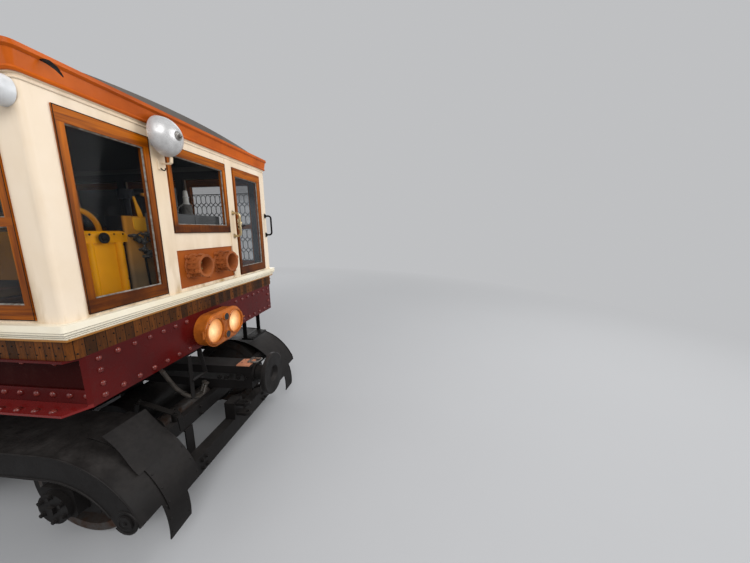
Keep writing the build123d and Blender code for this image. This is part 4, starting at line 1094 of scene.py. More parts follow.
def plank_nails():
    """Zigzag of nail heads round the raised ends."""
    low, high = plank_box[0].z + 0.025, plank_box[1].z - 0.035
    half, start, inset = plank_box[1].y, 2.6, 0.03
    spots = []
    for height, shift in ((low, 0.0), (high, BOARD / 2)):
        spots += row((face_x, inset - half + shift, height), (face_x, half - inset, height), BOARD, AHEAD)
        spots += both_sides(row((start, half, height), (face_x - inset - shift, half, height), BOARD, ACROSS))
    return all_round(spots)


heads("plank_nails", nails, plank_nails(), 0.0042, 0.003, "iron")

# %% [markdown]
# ## Finding the panes
# Beads, guards and handles all follow the glass. The panes of one node are loose solids, so a
# merged copy of its mesh is walked from point to point, and each separate group gives the box
# of one pane. Working from the frame keeps every bead on its window when a size changes.

# %% Pane boxes
def islands(name):
    """Lowest and highest corner of each solid that shares a node."""
    shape = bmesh.new()
    shape.from_mesh(nodes[name].data)
    bmesh.ops.remove_doubles(shape, verts=shape.verts, dist=1e-5)
    seen, found = set(), []
    for start in shape.verts:
        if start in seen:
            continue
        seen.add(start)
        queue, group = [start], []
        while queue:
            point = queue.pop()
            group.append(point.co.copy())
            for edge in point.link_edges:
                other = edge.other_vert(point)
                if other not in seen:
                    seen.add(other)
                    queue.append(other)
        found.append([Vector([pick(co[axis] for co in group) for axis in range(3)]) for pick in (min, max)])
    shape.free()
    return found


pane_boxes = islands("window_panes")
print("panes", len(pane_boxes))

# %% [markdown]
# ## Putty and painted gap shade
# A pane is held in its frame by a line of old grey putty. Round the outside of each frame a thin near-black
# strip is painted shade, for the shadow in the gap between the frame and the wall. Both are one closed loft
# round four corners: the section has only five points, because it is a few millimetres wide and seen from
# metres away.

# %% Putty and painted gap shade
BEAD_WIDE, BEAD_DEEP = 0.006, 0.008
GAP_SHADE_WIDE, GAP_SHADE_DEEP = 0.0045, 0.0012


def pane_plane(low, high):
    """The thin axis of a pane, the side that faces out and the place of that side."""
    axis = min(range(3), key=lambda index: high[index] - low[index])
    out = 1 if low[axis] > 0 else -1
    return axis, out, (high[axis] if out > 0 else low[axis])


def bead_ring(shape, low, high, wide=BEAD_WIDE, deep=BEAD_DEEP):
    """Quarter-round strip round the edge of one pane."""
    axis, out, start = pane_plane(low, high)
    a, b = [index for index in range(3) if index != axis]
    section = ((0, 0), (wide, 0), (0.9 * wide, 0.4 * deep), (0.5 * wide, 0.85 * deep), (0, deep))
    rings = []
    for x, y, inward_x, inward_y in ((low[a], low[b], 1, 1), (high[a], low[b], -1, 1),
                                     (high[a], high[b], -1, -1), (low[a], high[b], 1, -1)):
        ring = []
        for inset, rise in section:
            point = [0, 0, 0]
            point[a], point[b], point[axis] = x + inward_x * inset, y + inward_y * inset, start + out * rise
            ring.append(point)
        rings.append(ring)
    loft(shape, rings, closed=True)


def beads(boxes, *section):
    def build(shape):
        for low, high in boxes:
            bead_ring(shape, low, high, *section)
    return build


piece("glazing_putty", beads(pane_boxes), "putty", "car")
sash_boxes = islands("window_sashes")
# Painted shade: a near-black strip round each window frame.
piece("sash_gap_shade", beads(sash_boxes, GAP_SHADE_WIDE, GAP_SHADE_DEEP), "gap_shade", "car")
for end in ENDS:
    piece(f"cab_door_putty_{end}", beads([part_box(f"cab_door_pane_{end}")]), "putty", f"door_cab_{end}")
for side in ("left", "right"):
    piece(f"saloon_door_putty_{side}", beads([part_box(f"saloon_door_pane_{side}")]), "putty",
          f"door_saloon_{side}")
print("putty on", len(pane_boxes) + 4, "panes, joints round", len(sash_boxes), "frames")

# %% [markdown]
# ## Wire guards
# The foremost window on the door side has a wire net behind its glass, and the net shows
# through the cab door too. It has long cells with small diamonds between them. Its rule is
# short: uprights stand between the columns, and between the rows each upright splits into two
# slants that cross in the middle of a column. Only these lines are written as bare edges. A
# Geometry Nodes tree turns every edge into round wire, so one input sets the wire's thickness.

# %% Wire guards
CELL_WIDE, CELL_HIGH, UPRIGHT_SHARE = 0.058, 0.107, 0.54


def wire_tree():
    """Round wire along every edge of a bare mesh."""
    tree = Tree("wire_guard", {"Radius": 0.0016})
    line = tree.geometry("MeshToCurve", {0: tree.inputs["Geometry"]})
    ring = tree.geometry("CurvePrimitiveCircle", {"Resolution": 5, "Radius": tree.inputs["Radius"]})
    return tree.close(tree.geometry("CurveToMesh", {0: line, 1: ring, "Fill Caps": True}))


def guard_lines(low, high, top):
    """Edges of the net over one pane, up to a height, a little behind the glass."""
    axis, out, start = pane_plane(low, high)
    behind = (low[axis] if out > 0 else high[axis]) - out * 0.008
    across = 1 - axis
    high_end = min(top, high[2])
    columns = max(1, round((high[across] - low[across]) / CELL_WIDE))
    rows = max(1, round((high_end - low[2]) / CELL_HIGH))
    wide, tall = (high[across] - low[across]) / columns, (high_end - low[2]) / rows
    half = UPRIGHT_SHARE * tall / 2
    lines = []

    def line(u0, v0, u1, v1):
        ends = []
        for u, v in ((u0, v0), (u1, v1)):
            point = [0, 0, low[2] + v]
            point[axis], point[across] = behind, low[across] + u
            ends.append(tuple(point))
        lines.append(tuple(ends))

    for row_number in range(rows):
        middle = (row_number + 0.5) * tall
        for column in range(columns + 1):
            line(column * wide, middle - half, column * wide, middle + half)
        for column in range(columns):
            centre = (column + 0.5) * wide
            for edge in (column * wide, (column + 1) * wide):
                for side in SIDES:
                    line(edge, middle + side * half, centre, middle + side * tall / 2)
    line(0, rows * tall, high[across] - low[across], rows * tall)
    return lines


def edge_mesh(name, lines):
    """Bare mesh whose edges are the given lines, with shared ends joined."""
    places, edges = {}, []
    for ends in lines:
        ends = [tuple(round(value, 5) for value in end) for end in ends]
        edges.append([places.setdefault(end, len(places)) for end in ends])
    mesh = bpy.data.meshes.new(name)
    mesh.from_pydata(list(places), edges, [])
    return mesh


wires = wire_tree()
guarded = [(low, high) for low, high in pane_boxes
           if abs(low.x + high.x) / 2 > EQUIPMENT_END and high.x - low.x > 0.3 and low.x * low.y > 0]
guard_edges = [line for low, high in guarded for line in guard_lines(low, high, GUARD_TOP + 0.08)]
grow("window_guards", wires, edge_mesh("guard_lines", guard_edges), {"Radius": 0.004}, "iron", "car")

# %% [markdown]
# ## Strips on the walls
# The painted walls are boards with thin half-round strips: a frieze line under the cornice runs
# all round, and the cornice has a fine strip at its foot and at its top. A belt follows a rounded
# rectangle round the car, so that it turns the corner posts as they do.

# %% Belts
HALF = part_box("side_wall_left")[1].y
WALL_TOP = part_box("side_wall_left")[1].z
CORNER = 0.025


def belt(shape, section, corner=CORNER):
    """Strip round the whole car: its section is pairs of reach and height."""
    rings = []
    for quarter, (ahead, left) in enumerate(((1, -1), (1, 1), (-1, 1), (-1, -1))):
        for step in range(5):
            turn = radians(-90 + 90 * quarter + 90 * step / 4)
            rings.append([(ahead * (face_x - corner) + (corner + reach) * cos(turn),
                           left * (HALF - corner) + (corner + reach) * sin(turn), height)
                          for reach, height in section])
    loft(shape, rings, closed=True)


def half_round(low, high, reach):
    """Section of a half-round strip between two heights, sunk 4 mm into its wall."""
    middle, half = (low + high) / 2, (high - low) / 2
    turns = [radians(-90 + 30 * step) for step in range(7)]
    bow = [(reach * cos(turn), middle + half * sin(turn)) for turn in turns]
    return [(-0.004, low), *bow, (-0.004, high)]


def frieze(shape):
    belt(shape, half_round(WALL_TOP - 0.03, WALL_TOP - 0.019, 0.007))
    belt(shape, half_round(WALL_TOP - 0.01, WALL_TOP, 0.009))


piece("frieze_strips", frieze, "cream", "car")

cornice_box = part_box("cornice")


def cornice_lines(shape):
    """Small rounded strip at the foot of the leaning board and one under the top board."""
    reach = cornice_box[1].x - face_x
    board = cornice_box[1].z - 0.022
    belt(shape, [(0.001, WALL_TOP - 0.004), (0.016, WALL_TOP - 0.004), (0.021, WALL_TOP + 0.004),
                 (0.018, WALL_TOP + 0.013), (0.004, WALL_TOP + 0.013)], 0.01)
    belt(shape, [(0.018, board - 0.007), (0.8 * reach, board - 0.007), (reach + 0.004, board + 0.002),
                 (reach + 0.004, board + 0.009), (0.018, board + 0.009)], 0.01)


piece("cornice_lines", cornice_lines, "cornice", "car")
print("wall top", round(WALL_TOP, 3), "half width", round(HALF, 3))

# %% [markdown]
# ## Boards on the walls
# A capping board stands on each post of the end wall. Below the saloon windows there are a
# waist rail, a foot rail and upright battens, all plain boards, so each is one bevelled slab.

# %% Boards on the posts and under the saloon windows
POST_BOARDS = ((-0.424, -0.316), (0.328, 0.416))
SILL_TOP, SALOON_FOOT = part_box("sill_moulding")[1].z, LOW_FRAME[1]
DOOR_POST, NECK_SIDE, BATTENS = 0.6, CAB_START - 0.158, 7


def post_boards(shape):
    for y0, y1 in POST_BOARDS:
        slab(shape, (face_x - 0.004, y0, SILL_TOP - 0.002), (face_x + 0.006, y1, WALL_TOP - 0.032))


def saloon_trim(shape):
    """Waist rail, foot rail and battens between the door and the girder's neck, on both sides."""
    for side in SIDES:
        y0, y1 = sorted((side * (HALF - 0.004), side * (HALF + 0.014)))
        thin0, thin1 = sorted((side * (HALF - 0.004), side * (HALF + 0.007)))
        for end in SIDES:
            x0, x1 = sorted((end * DOOR_POST, end * CAB_START))
            slab(shape, (x0, y0, SILL_TOP - 0.045), (x1, y1, SILL_TOP - 0.012))
            x0, x1 = sorted((end * DOOR_POST, end * NECK_SIDE))
            slab(shape, (x0, thin0, SALOON_FOOT + 0.002), (x1, thin1, SALOON_FOOT + 0.085))
            for number in range(BATTENS):
                x = x0 + 0.02 + (x1 - x0 - 0.04) * number / (BATTENS - 1)
                slab(shape, (x - 0.018, thin0, SALOON_FOOT + 0.085), (x + 0.018, thin1, SILL_TOP - 0.045))


at_both_ends(post_boards, "cream", bevel=0.0025)
piece("saloon_trim", saloon_trim, "cream", "car", bevel=0.003)
print("boards", len(POST_BOARDS), "on each end")

# %% [markdown]
# ## Flat bars and ribbed rings
# Straps, levers and lids are flat iron, bent cold along a line, so they are lofted as a
# rectangle that follows a path. Ribbed rings are cast, and their teeth stand out of the
# outer wall only, so they are one closed loft round a bore.

# %% More shaping tools
def strap(shape, points, side, wide, thick):
    """Flat bar along a path. It is wide along the vector side."""
    points = [Vector(point) for point in points]
    rings = []
    for index, point in enumerate(points):
        ahead = (points[min(index + 1, len(points) - 1)] - points[max(index - 1, 0)]).normalized()
        across = Vector(side)
        across = (across - across.dot(ahead) * ahead).normalized() * wide / 2
        up = ahead.cross(across).normalized() * thick / 2
        rings.append([point - across - up, point + across - up, point + across + up, point - across + up])
    loft(shape, rings)


def ribbed(shape, place, inner, low, high, teeth, length):
    """Ring along x with square teeth round its outside."""
    def ring(x, radii):
        spots = []
        for step in range(4 * teeth):
            turn = 2 * pi * (step + 0.5) / (4 * teeth)
            spots.append((x, radii[step % 4] * cos(turn), radii[step % 4] * sin(turn)))
        return spots_from(place, spots)
    smooth, toothed = (inner,) * 4, (high, high, low, low)
    loft(shape, [ring(0, smooth), ring(0, toothed), ring(length, toothed), ring(length, smooth)], closed=True)


def hoop(shape, place, axis, inner, outer, thick, sides=32):
    """Flat ring with rounded edges."""
    edge = 0.25 * thick
    lathe(shape, [(0, inner), (0, outer - edge), (edge, outer), (thick - edge, outer), (thick, outer - edge),
                  (thick, inner)], place, axis, sides, closed=True)


def nut(shape, place, axis, radius, tall):
    """Six-sided nut on its washer, with the end of the bolt."""
    place, axis = Vector(place), Vector(axis).normalized()
    washer = [(0, 1.5 * radius), (0.25 * tall, 1.5 * radius), (0.3 * tall, 1.4 * radius)]
    body = [(0, radius), (0.85 * tall, radius), (tall, 0.86 * radius)]
    thread = [(0, 0.5 * radius), (0.6 * tall, 0.5 * radius), (0.7 * tall, 0.35 * radius)]
    for profile, lift, sides in ((washer, 0, 20), (body, 0.3 * tall, 6), (thread, tall, 14)):
        lathe(shape, profile, place + lift * axis, axis, sides)


print("bars and rings ready")

# %% [markdown]
# ## Gong and striker bracket
# The gong hangs on one bolt with a broad washer. The driver pulls its striker with a cord that
# runs through a small cast bracket below the gong, painted like the wall, with a hook below.

# %% Gong fittings
BELL_Y, BELL_Z, BELL_CORE = -0.37, rail_top + 2.475, 0.008
bell_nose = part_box("bells")[1].x
STRIKER = (face_x, BELL_Y + 0.005, 0)


def gong_bolt(shape):
    lathe(shape, [(0, 0.027), (0.003, 0.027), (0.005, 0.024)], (bell_nose - BELL_CORE, BELL_Y, BELL_Z), AHEAD)
    nut(shape, (bell_nose - 0.001, BELL_Y, BELL_Z), AHEAD, 0.013, 0.012)


def striker_bracket(shape):
    slab(shape, *spots_from(STRIKER, ((0, -0.02, 2.305), (0.012, 0.02, 2.368))))
    arm = ((0.01, 0.02, 2.348), (0.06, 0.02, 2.345), (0.072, 0.02, 2.352), (0.076, 0.02, 2.386))
    strap(shape, spots_from(STRIKER, arm), ACROSS, 0.022, 0.009)


def striker_hook(shape):
    wire = ((0.008, 0, 2.318), (0.024, 0, 2.304), (0.034, 0, 2.3), (0.042, 0, 2.306), (0.043, 0, 2.316))
    tube(shape, spots_from(STRIKER, wire), 0.0035)


at_both_ends(gong_bolt, "steel", bevel=0.0008)
at_both_ends(striker_bracket, "cream", bevel=0.002)
at_both_ends(striker_hook, "iron")
print("gong nose", round(bell_nose, 3))

# %% [markdown]
# ## Headlamp fittings
# Each lens is held by a turned bezel with four small screws. The case's lid swings on a hinge
# at one end and closes with a wing nut at the other.

# %% Lamp bezels
CASE_FACE = lamp_high.x - 0.012


def lamp_bezels(shape):
    for side in SIDES:
        centre = (CASE_FACE - 0.001, LAMP_Y + side * LENS_PITCH / 2, LAMP_Z)
        lathe(shape, [(0, LENS_EDGE - 0.001), (0, LENS_EDGE + 0.012), (0.004, LENS_EDGE + 0.013),
                      (0.008, LENS_EDGE + 0.008), (0.006, LENS_EDGE - 0.001)], centre, AHEAD, 48, closed=True)


def lamp_hinges(shape):
    """Hinge at one end of the case and wing nut at the other."""
    reach = LENS_PITCH / 2 + LENS_EDGE + 0.022
    hinge, catch = (CASE_FACE, LAMP_Y - reach, LAMP_Z), (CASE_FACE, LAMP_Y + reach, LAMP_Z)
    tube(shape, spots_from(hinge, ((-0.02, 0, -0.03), (-0.02, 0, 0.03))), 0.008)
    strap(shape, spots_from(hinge, ((-0.013, 0.004, 0), (-0.004, 0.022, 0))), UP, 0.036, 0.006)
    nut(shape, *spots_from(catch, ((-0.013, 0, 0),)), AHEAD, 0.008, 0.013)
    strap(shape, spots_from(catch, ((0.002, -0.016, 0), (0.002, 0.016, 0))), UP, 0.01, 0.005)


at_both_ends(lamp_bezels, "lamp_case")
screws = two_circles((CASE_FACE + 0.006, LAMP_Y, LAMP_Z), LENS_PITCH / 2, LENS_EDGE + 0.007)
heads("lamp_screws", nails, screws, 0.005, 0.004, "iron")
at_both_ends(lamp_hinges, "lamp_case", bevel=0.0008)
print("lens radius", round(LENS_EDGE, 3))

# %% [markdown]
# ## Corner lamps and cornice clip
# The small white lamps at the corners have a turned rim round their glass. A dark curved blade
# hangs from the cornice over the door: it catches the rain gutter's strap.

# %% Corner details
marker_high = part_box("corner_lamps")[1]
MARKER_X, MARKER_Z = face_x - 0.06, rail_top + 2.465
clip_top = cornice_box[1].z - 0.024


def marker_rims(shape):
    hoop(shape, (MARKER_X, 0.02 - marker_high.y, MARKER_Z), (0, -1, 0), 0.055, 0.067, 0.008)


def cornice_clip(shape):
    """Curved blade that is widest near its top and ends in a point."""
    spine = ((0.026, -0.943, 0), (0.048, -0.935, -0.01), (0.07, -0.925, -0.03), (0.088, -0.914, -0.06))
    rings = []
    for point, wide in zip(spots_from((face_x, 0, clip_top), spine), (0.01, 0.016, 0.013, 0.003)):
        rings.append([Vector(point) + Vector((0.3 * wide, 0.5 * wide * side, 0.5 * wide * side + rise))
                      for side, rise in ((-1, -0.003), (1, -0.003), (1, 0.003), (-1, 0.003))])
    loft(shape, rings)


at_both_ends(marker_rims, "white_lamp")
at_both_ends(cornice_clip, "iron", bevel=0.001)
print("marker lamps out to", round(marker_high.y, 3))

# %% [markdown]
# ## Cab door fittings
# A long narrow lock plate, a round knob and a lever. They ride the door, so they swing with
# it. The grab handles beside the door stand on small plates with two bolts each.

# %% Door lock
door_low, door_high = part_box("cab_door_front")
LOCK_Y, LOCK_Z = door_low.y + 0.014, rail_top + 1.955
PLATE_FACE = door_high.x - 0.002


def lock_plate(shape):
    outline = arc((door_high.x - 0.002, LOCK_Y, LOCK_Z + 0.04), 0.011, 0, 180, 8, ACROSS, UP)
    outline += arc((door_high.x - 0.002, LOCK_Y, LOCK_Z - 0.04), 0.011, 180, 360, 8, ACROSS, UP)
    push(shape, outline, (0.0045, 0, 0))


def lock_knob(shape):
    profile = ((0, 0.011), (0.004, 0.011), (0.006, 0.007), (0.014, 0.0065), (0.018, 0.012), (0.024, 0.0155),
               (0.031, 0.015), (0.036, 0.009), (0.038, 0.003))
    lathe(shape, profile, (PLATE_FACE, LOCK_Y, LOCK_Z + 0.01), AHEAD, 24)


def lock_lever(shape):
    pivot = (PLATE_FACE, LOCK_Y, LOCK_Z - 0.026)
    lathe(shape, [(0, 0.01), (0.01, 0.01), (0.012, 0.008)], pivot, AHEAD, 20)
    arm = ((0.012, -0.006, -0.027), (0.014, 0.03, -0.024), (0.015, 0.075, -0.01), (0.015, 0.096, -0.008))
    strap(shape, spots_from((PLATE_FACE, LOCK_Y, LOCK_Z), arm), UP, 0.013, 0.007)


at_each_end(lock_plate, "brass", "door_cab", bevel=0.0006)
at_each_end(lock_knob, "brass", "door_cab")
at_each_end(lock_lever, "iron", "door_cab", bevel=0.0012)

handle_low, handle_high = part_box("grab_handles")
HANDLE_LOW, HANDLE_HIGH = handle_low.z, handle_high.z
HANDLE_Y, HANDLE_BAR = (0.376, 0.983), 0.011


def round_handles(shape):
    """Bars with rounded corners, at the place of the plain ones."""
    bend, low, high = 0.028, HANDLE_LOW + HANDLE_BAR, HANDLE_HIGH - HANDLE_BAR
    turn_x = handle_high.x - HANDLE_BAR - bend
    for y in HANDLE_Y:
        path = [(face_x, y, low)] + arc((turn_x, y, low + bend), bend, -90, 0, 6, AHEAD, UP)
        path += arc((turn_x, y, high - bend), bend, 0, 90, 6, AHEAD, UP) + [(face_x, y, high)]
        tube(shape, path, 0.0095, 14)
        for z in (low, high):
            lathe(shape, [(0, 0.017), (0.01, 0.017), (0.014, 0.012)], (face_x + 0.004, y, z), AHEAD, 20)


def handle_plates(shape):
    for y in HANDLE_Y:
        for low in (HANDLE_LOW - 0.014, HANDLE_HIGH - 0.034):
            slab(shape, (face_x, y - 0.0135, low), (face_x + 0.006, y + 0.0135, low + 0.048))


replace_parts(at_both_ends(round_handles, "brass"), "grab_handles")
at_both_ends(handle_plates, "iron", bevel=0.0025)
handle_screws = [((face_x + 0.007, y, z), AHEAD) for y in HANDLE_Y
                 for z in (HANDLE_LOW - 0.007, HANDLE_LOW + 0.027, HANDLE_HIGH - 0.027, HANDLE_HIGH + 0.007)]
heads("handle_screws", nails, all_round(handle_screws), 0.0045, 0.003, "steel")
print("lock height", round(LOCK_Z, 3))

# %% [markdown]
# ## Cable sockets
# Each socket on the end panel is a cast tube with ribs, a bolted flange, four claws round its
# mouth that lock the plug, and two contact pins at the bottom of its bore.

# %% Sockets
socket_low, socket_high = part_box("cable_sockets")
SOCKET_Y, SOCKET_Z, SOCKET_R, SOCKET_BARREL = 0.16, rail_top + 1.64, 0.085, 0.0735
SOCKET_LONG, BOLT_RADIUS = 0.11, 0.096
socket_back = socket_low.x if socket_low.x > 0 else socket_high.x - SOCKET_LONG


def socket_ribs(shape):
    for side in SIDES:
        ribbed(shape, (socket_back + 0.012, side * SOCKET_Y, SOCKET_Z), SOCKET_BARREL - 0.004, SOCKET_BARREL,
               SOCKET_R - 0.002, 12, 0.068)


def bored_sockets(shape):
    """Cast tube with a wide mouth and a blind bore. It has the plain solid's outside."""
    outside = [(0, 0.085), (0.011, 0.085), (0.012, 0.073), (0.04, 0.073), (0.041, 0.0815), (0.056, 0.0815),
               (0.057, 0.073), (0.08, 0.073), (0.082, 0.0835), (0.107, 0.085), (0.11, 0.083)]
    inside = [(0.11, 0.067), (0.106, 0.064), (0.032, 0.06), (0.03, 0.056), (0.03, 0.002)]
    for side in SIDES:
        place = Vector((socket_back, side * SOCKET_Y, SOCKET_Z))
        lathe(shape, outside + inside, place, AHEAD, 40)
        for out in bolt_circle((0, 0, 0), 1, 20, 90):
            claw = spots_from(place + 0.088 * Vector(out), ((0.078, 0, 0), (0.109, 0, 0)))
            strap(shape, claw, Vector(AHEAD).cross(out), 0.022, 0.014)


def contact_pins(shape):
    for y in (-SOCKET_Y, SOCKET_Y):
        for z in (SOCKET_Z - 0.022, SOCKET_Z + 0.022):
            lathe(shape, [(0, 0.008), (0.035, 0.008), (0.04, 0.005)], (socket_back + 0.028, y, z), AHEAD, 14)


def socket_flanges(shape):
    for side in SIDES:
        centre = (socket_back, side * SOCKET_Y, SOCKET_Z)
        hoop(shape, centre, AHEAD, SOCKET_BARREL - 0.004, SOCKET_R + 0.006, 0.011, 40)
        for ear in bolt_circle(centre, BOLT_RADIUS, 45, 90):
            lathe(shape, [(0, 0.016), (0.009, 0.016), (0.012, 0.013)], ear, AHEAD, 20)


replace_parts(at_both_ends(bored_sockets, "socket"), "cable_sockets")
at_both_ends(contact_pins, "pins")
at_both_ends(socket_ribs, "socket", bevel=0.0012)
at_both_ends(socket_flanges, "socket")
flange_bolts = two_circles((socket_back + 0.014, 0, SOCKET_Z), SOCKET_Y, BOLT_RADIUS)
heads("socket_bolts", bolts, flange_bolts, 0.008, 0.006, "socket")
print("sockets reach", round(socket_high.x - face_x, 3))

# %% [markdown]
# ## Under the end frame
# Behind the headlamp, two bent air pipes come down side by side from the frame and turn in to
# the middle. A flat stay and a short strut hold them. They are steel pipe, bent over a form,
# and belong to the car, not to the bogie, so the bogie turns under them.

# %% Pipes under the frame
PIPE_X, UNION_AXIS = face_x + 0.03, (0, 0.35, 0.93)


def air_pipes(shape):
    path = [(-0.589, 1.036), (-0.56, 0.975), (-0.505, 0.87), (-0.445, 0.791), (-0.385, 0.73),
            (-0.316, 0.69), (-0.262, 0.69), (-0.226, 0.745)]
    for shift, radius in ((0.0, 0.013), (0.032, 0.011)):
        tube(shape, [(PIPE_X - shift, y + 0.6 * shift, z) for y, z in path], radius)
    hoop(shape, (PIPE_X, -0.226, 0.742), UNION_AXIS, 0.008, 0.02, 0.02, 20)
    hoop(shape, (PIPE_X - 0.032, -0.207, 0.742), UNION_AXIS, 0.006, 0.018, 0.02, 20)


def pipe_stays(shape):
    """Upright flat stay, level strut to the frame and the clip that holds both pipes."""
    bars = (
        (((0.006, -0.364, 1.036), (0.006, -0.366, 0.96), (0.012, -0.379, 0.783), (0.012, -0.38, 0.72)),
         ACROSS, 0.034, 0.008),
        (((0.01, -0.372, 0.852), (-0.02, -0.19, 0.825), (-0.09, -0.15, 1.036)), AHEAD, 0.03, 0.01),
        (((-0.05, -0.47, 0.806), (0.017, -0.44, 0.806)), (0, 0.7, -0.7), 0.028, 0.005))
    for path, side, wide, thick in bars:
        strap(shape, spots_from((PIPE_X, 0, 0), path), side, wide, thick)


at_both_ends(air_pipes, "pipe")
at_both_ends(pipe_stays, "bogie", bevel=0.0015)
print("pipes at", round(PIPE_X, 3))

# %% [markdown]
# ## Bogie ironwork
# The fenders are rolled sheet with a beaded edge along the skirt and round its boss. A bent
# patch of thinner sheet stands up behind the near fender's top. Links, a stay to the fender
# and a stack of washers sit at the headstock.

# %% Fender details
FENDER_X, FENDER_Z, FENDER_R, SKIRT = 4.76, rail_top + 0.19, 0.545, 0.135
SKIRT_Y, BOSS_X, BOSS_Z, BOSS_R = 1.03, 5.196, rail_top + 0.384, 0.0675
PATCH_FOOT, PATCH_TOP, SHEET = 41, 69, 0.0035
STAY_Y, LEVEL_X = -0.602, (4.3, 3.8, 3.3, 2.93)


def on_fender(degrees, radius, y):
    turn = radians(degrees)
    return Vector((FENDER_X + radius * cos(turn), y, FENDER_Z + radius * sin(turn)))


def edge_line(start, radius, y):
    """Line along the fender's bow from an angle in degrees to its top, and on along its level part."""
    bow = [on_fender(turn, radius, y) for turn in range(start, 91, 5)]
    return bow + [(x, y, FENDER_Z + radius) for x in LEVEL_X]


def skirt_beads(shape):
    for side in SIDES:
        y = side * SKIRT_Y
        tube(shape, edge_line(32, FENDER_R - SKIRT, y), 0.006, 8)
        tube(shape, arc((BOSS_X, y, BOSS_Z), BOSS_R, -150, 120, 22, AHEAD, UP), 0.006, 8)
        tube(shape, edge_line(20, FENDER_R + 0.001, side * (SKIRT_Y - 0.004)), 0.005, 8)


def lifted_patch(shape):
    """Flat thin sheet that leaves the fender's bow, with slightly wavy edges."""
    rings = []
    for step in range(15):
        share = step / 14
        turn = PATCH_TOP - (PATCH_TOP - PATCH_FOOT) * share
        lift = (FENDER_R + 0.0095) / cos(radians(turn - PATCH_FOOT)) - FENDER_R
        near, far = -0.905 + 0.006 * sin(5 * share), -0.632 - 0.01 * share
        high, low = FENDER_R + lift + 0.0015 * sin(7 * share), FENDER_R + 0.86 * lift
        rings.append([on_fender(turn, radius, y) for radius, y in (
            (high, near), (low, far), (low + SHEET, far), (high + SHEET, near))])
    loft(shape, rings)


def fender_stay(shape):
    path = ((4.86, 0.7), (4.895, 0.806), (4.935, 0.812), (5.15, 0.752), (5.19, 0.73), (5.198, 0.64))
    strap(shape, [(x, STAY_Y, z) for x, z in path], ACROSS, 0.036, 0.008)
    nut(shape, (4.915, STAY_Y, 0.813), (0.1, 0, 1), 0.011, 0.012)
    nut(shape, (5.165, STAY_Y, 0.75), (0.3, 0, 1), 0.011, 0.012)


def pin_rings(shape):
    for side in SIDES:
        centre = (BOSS_X, side * (SKIRT_Y + 0.006), BOSS_Z)
        hoop(shape, centre, (0, side, 0), 0.03, 0.041, 0.003, 28)
        lathe(shape, [(0, 0.012), (0.004, 0.012), (0.006, 0.008)], centre, (0, side, 0), 16)


def fender_heads():
    """Rivets along the raised sheet and the flap."""
    spots = []
    for ys, turns, rise in (((0.633, 0.857), (16, 26, 36), 0.0072), ((0.745, 0.875), (-3, 6, 15), 0.0005)):
        for y in ys:
            for turn in turns:
                out = on_fender(turn, 1.0, 0) - on_fender(turn, 0.0, 0)
                spots += [(on_fender(turn, FENDER_R + rise, side * y), out) for side in SIDES]
    return spots


at_each_end(skirt_beads, "bogie", "bogie")
at_each_end(lifted_patch, "bogie", "bogie", angle=60)
at_each_end(fender_stay, "iron", "bogie", bevel=0.001)
at_each_end(pin_rings, "bogie", "bogie")
heads_each_end("fender_heads", rivets, fender_heads(), 0.007, 0.004, "bogie", "bogie")

# %% [markdown]
# ## Draw beam, guard beam and axleboxes
# A stiff leather plate lies on the draw beam behind the buffer, under a round shackle. The link
# beside it is a bent flat bar. Bolts hold the hangers, the headstock and the axlebox covers.

# %% Draw beam and bolts
BEAM_TOP, LINK_Y, STACK_X, STACK_Y = rail_top + 0.8, 0.232, 5.066, -0.5
AXLES, AXLE_Z, COVER_Y, COVER_BOLTS = (3.91 + 0.75, 3.91 - 0.75), rail_top + 0.34, 0.9705, 0.078


def beam_plate(shape):
    outline = [(5.262, BEAM_TOP), (5.375, BEAM_TOP), (5.38, BEAM_TOP + 0.006), (5.378, BEAM_TOP + 0.014),
               (5.372, BEAM_TOP + 0.0165), (5.27, BEAM_TOP + 0.0145), (5.262, BEAM_TOP + 0.0085)]
    push(shape, [(x, -0.072, z) for x, z in outline], (0, 0.11, 0))
    upper = [(5.285, BEAM_TOP + 0.0125), (5.372, BEAM_TOP + 0.014), (5.374, BEAM_TOP + 0.02),
             (5.33, BEAM_TOP + 0.022), (5.285, BEAM_TOP + 0.019)]
    push(shape, [(x, -0.064, z) for x, z in upper], (0, 0.092, 0))


def pad_holes():
    return [((5.3, y, BEAM_TOP + 0.0195), UP) for y in (-0.045, 0.01)]


def shackle(shape):
    z = BEAM_TOP + 0.024
    path = ((5.352, -0.034, 0), (5.405, -0.034, 0), (5.432, -0.029, 0.002), (5.44, -0.012, 0.003),
            (5.44, 0.014, 0.003), (5.432, 0.031, 0.002), (5.405, 0.036, 0), (5.352, 0.036, 0))
    tube(shape, spots_from((0, 0, z), path), 0.008, 10, closed=True)
    slab(shape, (5.346, -0.046, z - 0.012), (5.362, 0.048, z + 0.008))


def slotted_link(shape):
    """Bent flat bar in three legs."""
    for thick, legs in ((0.01, ((5.142, 0.7), (5.17, 0.66), (5.255, 0.56), (5.297, 0.507))),
                        (0.01, ((5.297, 0.507), (5.285, 0.48), (5.226, 0.464))),
                        (0.012, ((5.09, 0.6), (5.142, 0.7)))):
        strap(shape, [(x, LINK_Y, z) for x, z in legs], ACROSS, 0.03, thick)


def washer_stack(shape):
    for step in range(5):
        lathe(shape, [(0, 0.026), (0.002, 0.028), (0.007, 0.028), (0.009, 0.026)],
              (STACK_X, STACK_Y, 0.625 + 0.0105 * step), UP, 20)
    nut(shape, (STACK_X, STACK_Y, 0.678), UP, 0.016, 0.02)


